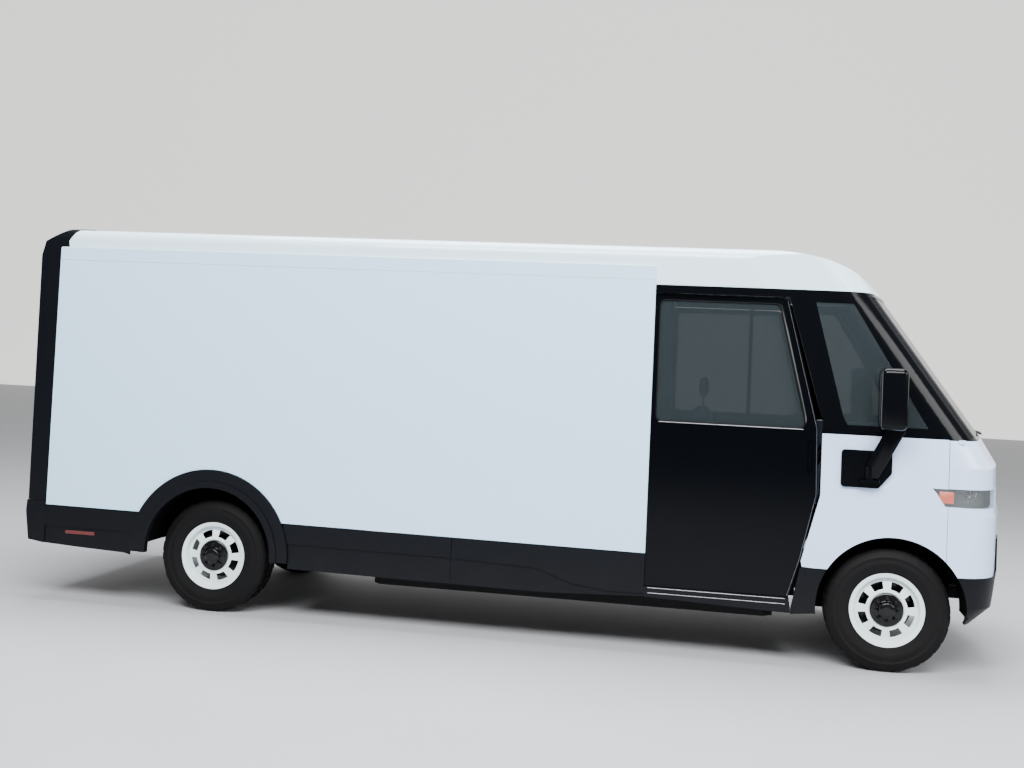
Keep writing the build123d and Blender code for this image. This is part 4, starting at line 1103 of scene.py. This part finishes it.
def makeMirror(side):
    word = sideWord[side]
    body = "mirror_unit_" + word
    low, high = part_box("mirror_arm_" + word)
    pivot = high[0] - 0.215
    inner = min(abs(low[1]), abs(high[1]))
    outer = max(abs(low[1]), abs(high[1]))
    y0, y1 = sorted((side * (inner + 0.001), side * (outer - 0.0005)))
    headLow = (pivot + 0.0385, y0, 1.5755)
    headHigh = (pivot + 0.2045, y1, high[2] - 0.0005)
    head = roundedBlock(headLow, headHigh, mirrorSpec["bevel"], 5)
    pickFaces(head, lambda polygon: polygon.normal.x < -0.99 and polygon.area > 0.01)
    bpy.ops.mesh.inset(thickness=mirrorSpec["rim"], depth=0)
    bpy.ops.mesh.inset(thickness=0.001, depth=-mirrorSpec["recess"])
    bpy.ops.object.mode_set(mode="OBJECT")
    settle(head, "mirror_head_" + word, "pillarBlack", body)
    near = side * (inner + 0.001)
    outline = [
        (pivot - 0.022, near, low[2] + 0.002),
        (pivot + 0.050, near, low[2] + 0.002),
        (pivot + 0.213, near, 1.560),
        (pivot + 0.213, near, 1.690),
        (pivot + 0.120, near, 1.690),
        (pivot + 0.096, near, 1.575),
        (pivot - 0.022, near, 1.345),
    ]
    arm = flatShape(outline, side * 0.026)
    addModifier(arm, "BEVEL", width=mirrorSpec["armBevel"], segments=3, limit_method="ANGLE")
    smooth(arm)
    settle(arm, "mirror_arm_plate_" + word, "pillarBlack", body)
    place = (pivot, side * (inner + 0.013), low[2] + 0.040)
    radius, depth = mirrorSpec["eyeRadius"], mirrorSpec["eyeHeight"]
    bpy.ops.mesh.primitive_cylinder_add(vertices=40, radius=radius, depth=depth, location=place)
    eye = bpy.context.object
    bpy.ops.object.transform_apply(location=True, rotation=True, scale=True)
    addModifier(eye, "BEVEL", width=0.004, segments=3, limit_method="ANGLE")
    smooth(eye)
    settle(eye, "mirror_pivot_eye_" + word, "claddingBlack", body)
    for piece in (head, arm, eye):
        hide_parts("mirror_arm_" + word)


bothSides(makeMirror)
print("mirrors done")

# ---- floor, lights and camera
cameraSpec = dict(
    place=(1.7490, -9.46447, 1.94082),
    turn=0.192377,
    tilt=0.0400456,
    roll=0.0461976,
    lens=44.02,
    shiftY=-0.0779,
)
lightSpec = dict(key=3100, top=2100, front=550, sky=0.28)
stageSpec = dict(floor=80, wallY=32.0, wallMiddle=15, wallSize=(160, 60, 1), wallGlow=1.1)


def makeStage():
    bpy.ops.mesh.primitive_plane_add(size=stageSpec["floor"], location=(0, 0, 0))
    floor = bpy.context.object
    floor.name = "studio_floor"
    material, nodes, links, shader = newMaterial("studioFloor")
    noise = nodes.new("ShaderNodeTexNoise")
    noise.inputs["Scale"].default_value = 0.8
    links.new(objectCoords(nodes), noise.inputs["Vector"])
    tone = nodes.new("ShaderNodeMix")
    tone.data_type = "RGBA"
    tone.inputs["A"].default_value = (0.36, 0.365, 0.38, 1)
    tone.inputs["B"].default_value = (0.40, 0.405, 0.42, 1)
    links.new(noise.outputs["Fac"], tone.inputs["Factor"])
    links.new(tone.outputs["Result"], shader.inputs["Base Color"])
    shader.inputs["Roughness"].default_value = 0.75
    floor.data.materials.append(material)
    place = (0, stageSpec["wallY"], stageSpec["wallMiddle"])
    bpy.ops.mesh.primitive_plane_add(size=1, location=place, rotation=(pi / 2, 0, 0))
    wall = bpy.context.object
    wall.name = "studio_wall"
    wall.scale = stageSpec["wallSize"]
    bpy.ops.object.transform_apply(location=True, rotation=True, scale=True)
    paper, paperNodes, paperLinks, paperShader = newMaterial("studioWall")
    cloud = paperNodes.new("ShaderNodeTexNoise")
    cloud.inputs["Scale"].default_value = 0.05
    paperLinks.new(objectCoords(paperNodes), cloud.inputs["Vector"])
    blend = paperNodes.new("ShaderNodeMix")
    blend.data_type = "RGBA"
    blend.inputs["A"].default_value = (0.93, 0.92, 0.89, 1)
    blend.inputs["B"].default_value = (0.96, 0.95, 0.92, 1)
    paperLinks.new(cloud.outputs["Fac"], blend.inputs["Factor"])
    paperLinks.new(blend.outputs["Result"], paperShader.inputs["Base Color"])
    paperLinks.new(blend.outputs["Result"], paperShader.inputs["Emission Color"])
    paperShader.inputs["Emission Strength"].default_value = stageSpec["wallGlow"]
    paperShader.inputs["Roughness"].default_value = 0.9
    wall.data.materials.append(paper)
    world = bpy.data.worlds.new("studio")
    bpy.context.scene.world = world
    world.use_nodes = True
    sky = world.node_tree.nodes["Background"]
    sky.inputs["Color"].default_value = (0.93, 0.95, 1.0, 1)
    sky.inputs["Strength"].default_value = lightSpec["sky"]


def addLight(name, place, aim, size, power, color=(1, 1, 1)):
    bpy.ops.object.light_add(type="AREA", location=place)
    lamp = bpy.context.object
    lamp.name = name
    lamp.data.shape = "RECTANGLE"
    lamp.data.size, lamp.data.size_y = size
    lamp.data.energy = power
    lamp.data.color = color
    lamp.rotation_euler = (Vector(aim) - Vector(place)).to_track_quat("-Z", "Y").to_euler()


def makeLights():
    addLight("keyLight", (1.0, -9.0, 8.5), (0, 0, 1.2), (10, 4), lightSpec["key"])
    addLight("frontLight", (9.0, -4.0, 5.0), (2.5, 0, 1.2), (4, 4), lightSpec["front"])
    addLight("topLight", (0, 0.5, 9.0), (0, 0, 0), (9, 5), lightSpec["top"], (0.96, 0.98, 1.0))


def makeCamera():
    bpy.ops.object.camera_add(location=cameraSpec["place"])
    camera = bpy.context.object
    turn = Matrix.Rotation(cameraSpec["turn"], 4, "Z")
    tilt = Matrix.Rotation(pi / 2 + cameraSpec["tilt"], 4, "X")
    roll = Matrix.Rotation(cameraSpec["roll"], 4, "Z")
    camera.rotation_euler = (turn @ tilt @ roll).to_euler()
    camera.data.lens = cameraSpec["lens"]
    camera.data.sensor_width = 36
    camera.data.shift_y = cameraSpec["shiftY"]
    bpy.context.scene.camera = camera


makeStage()
makeLights()
makeCamera()
print("stage, lights and camera set")

bpy.context.view_layer.update()
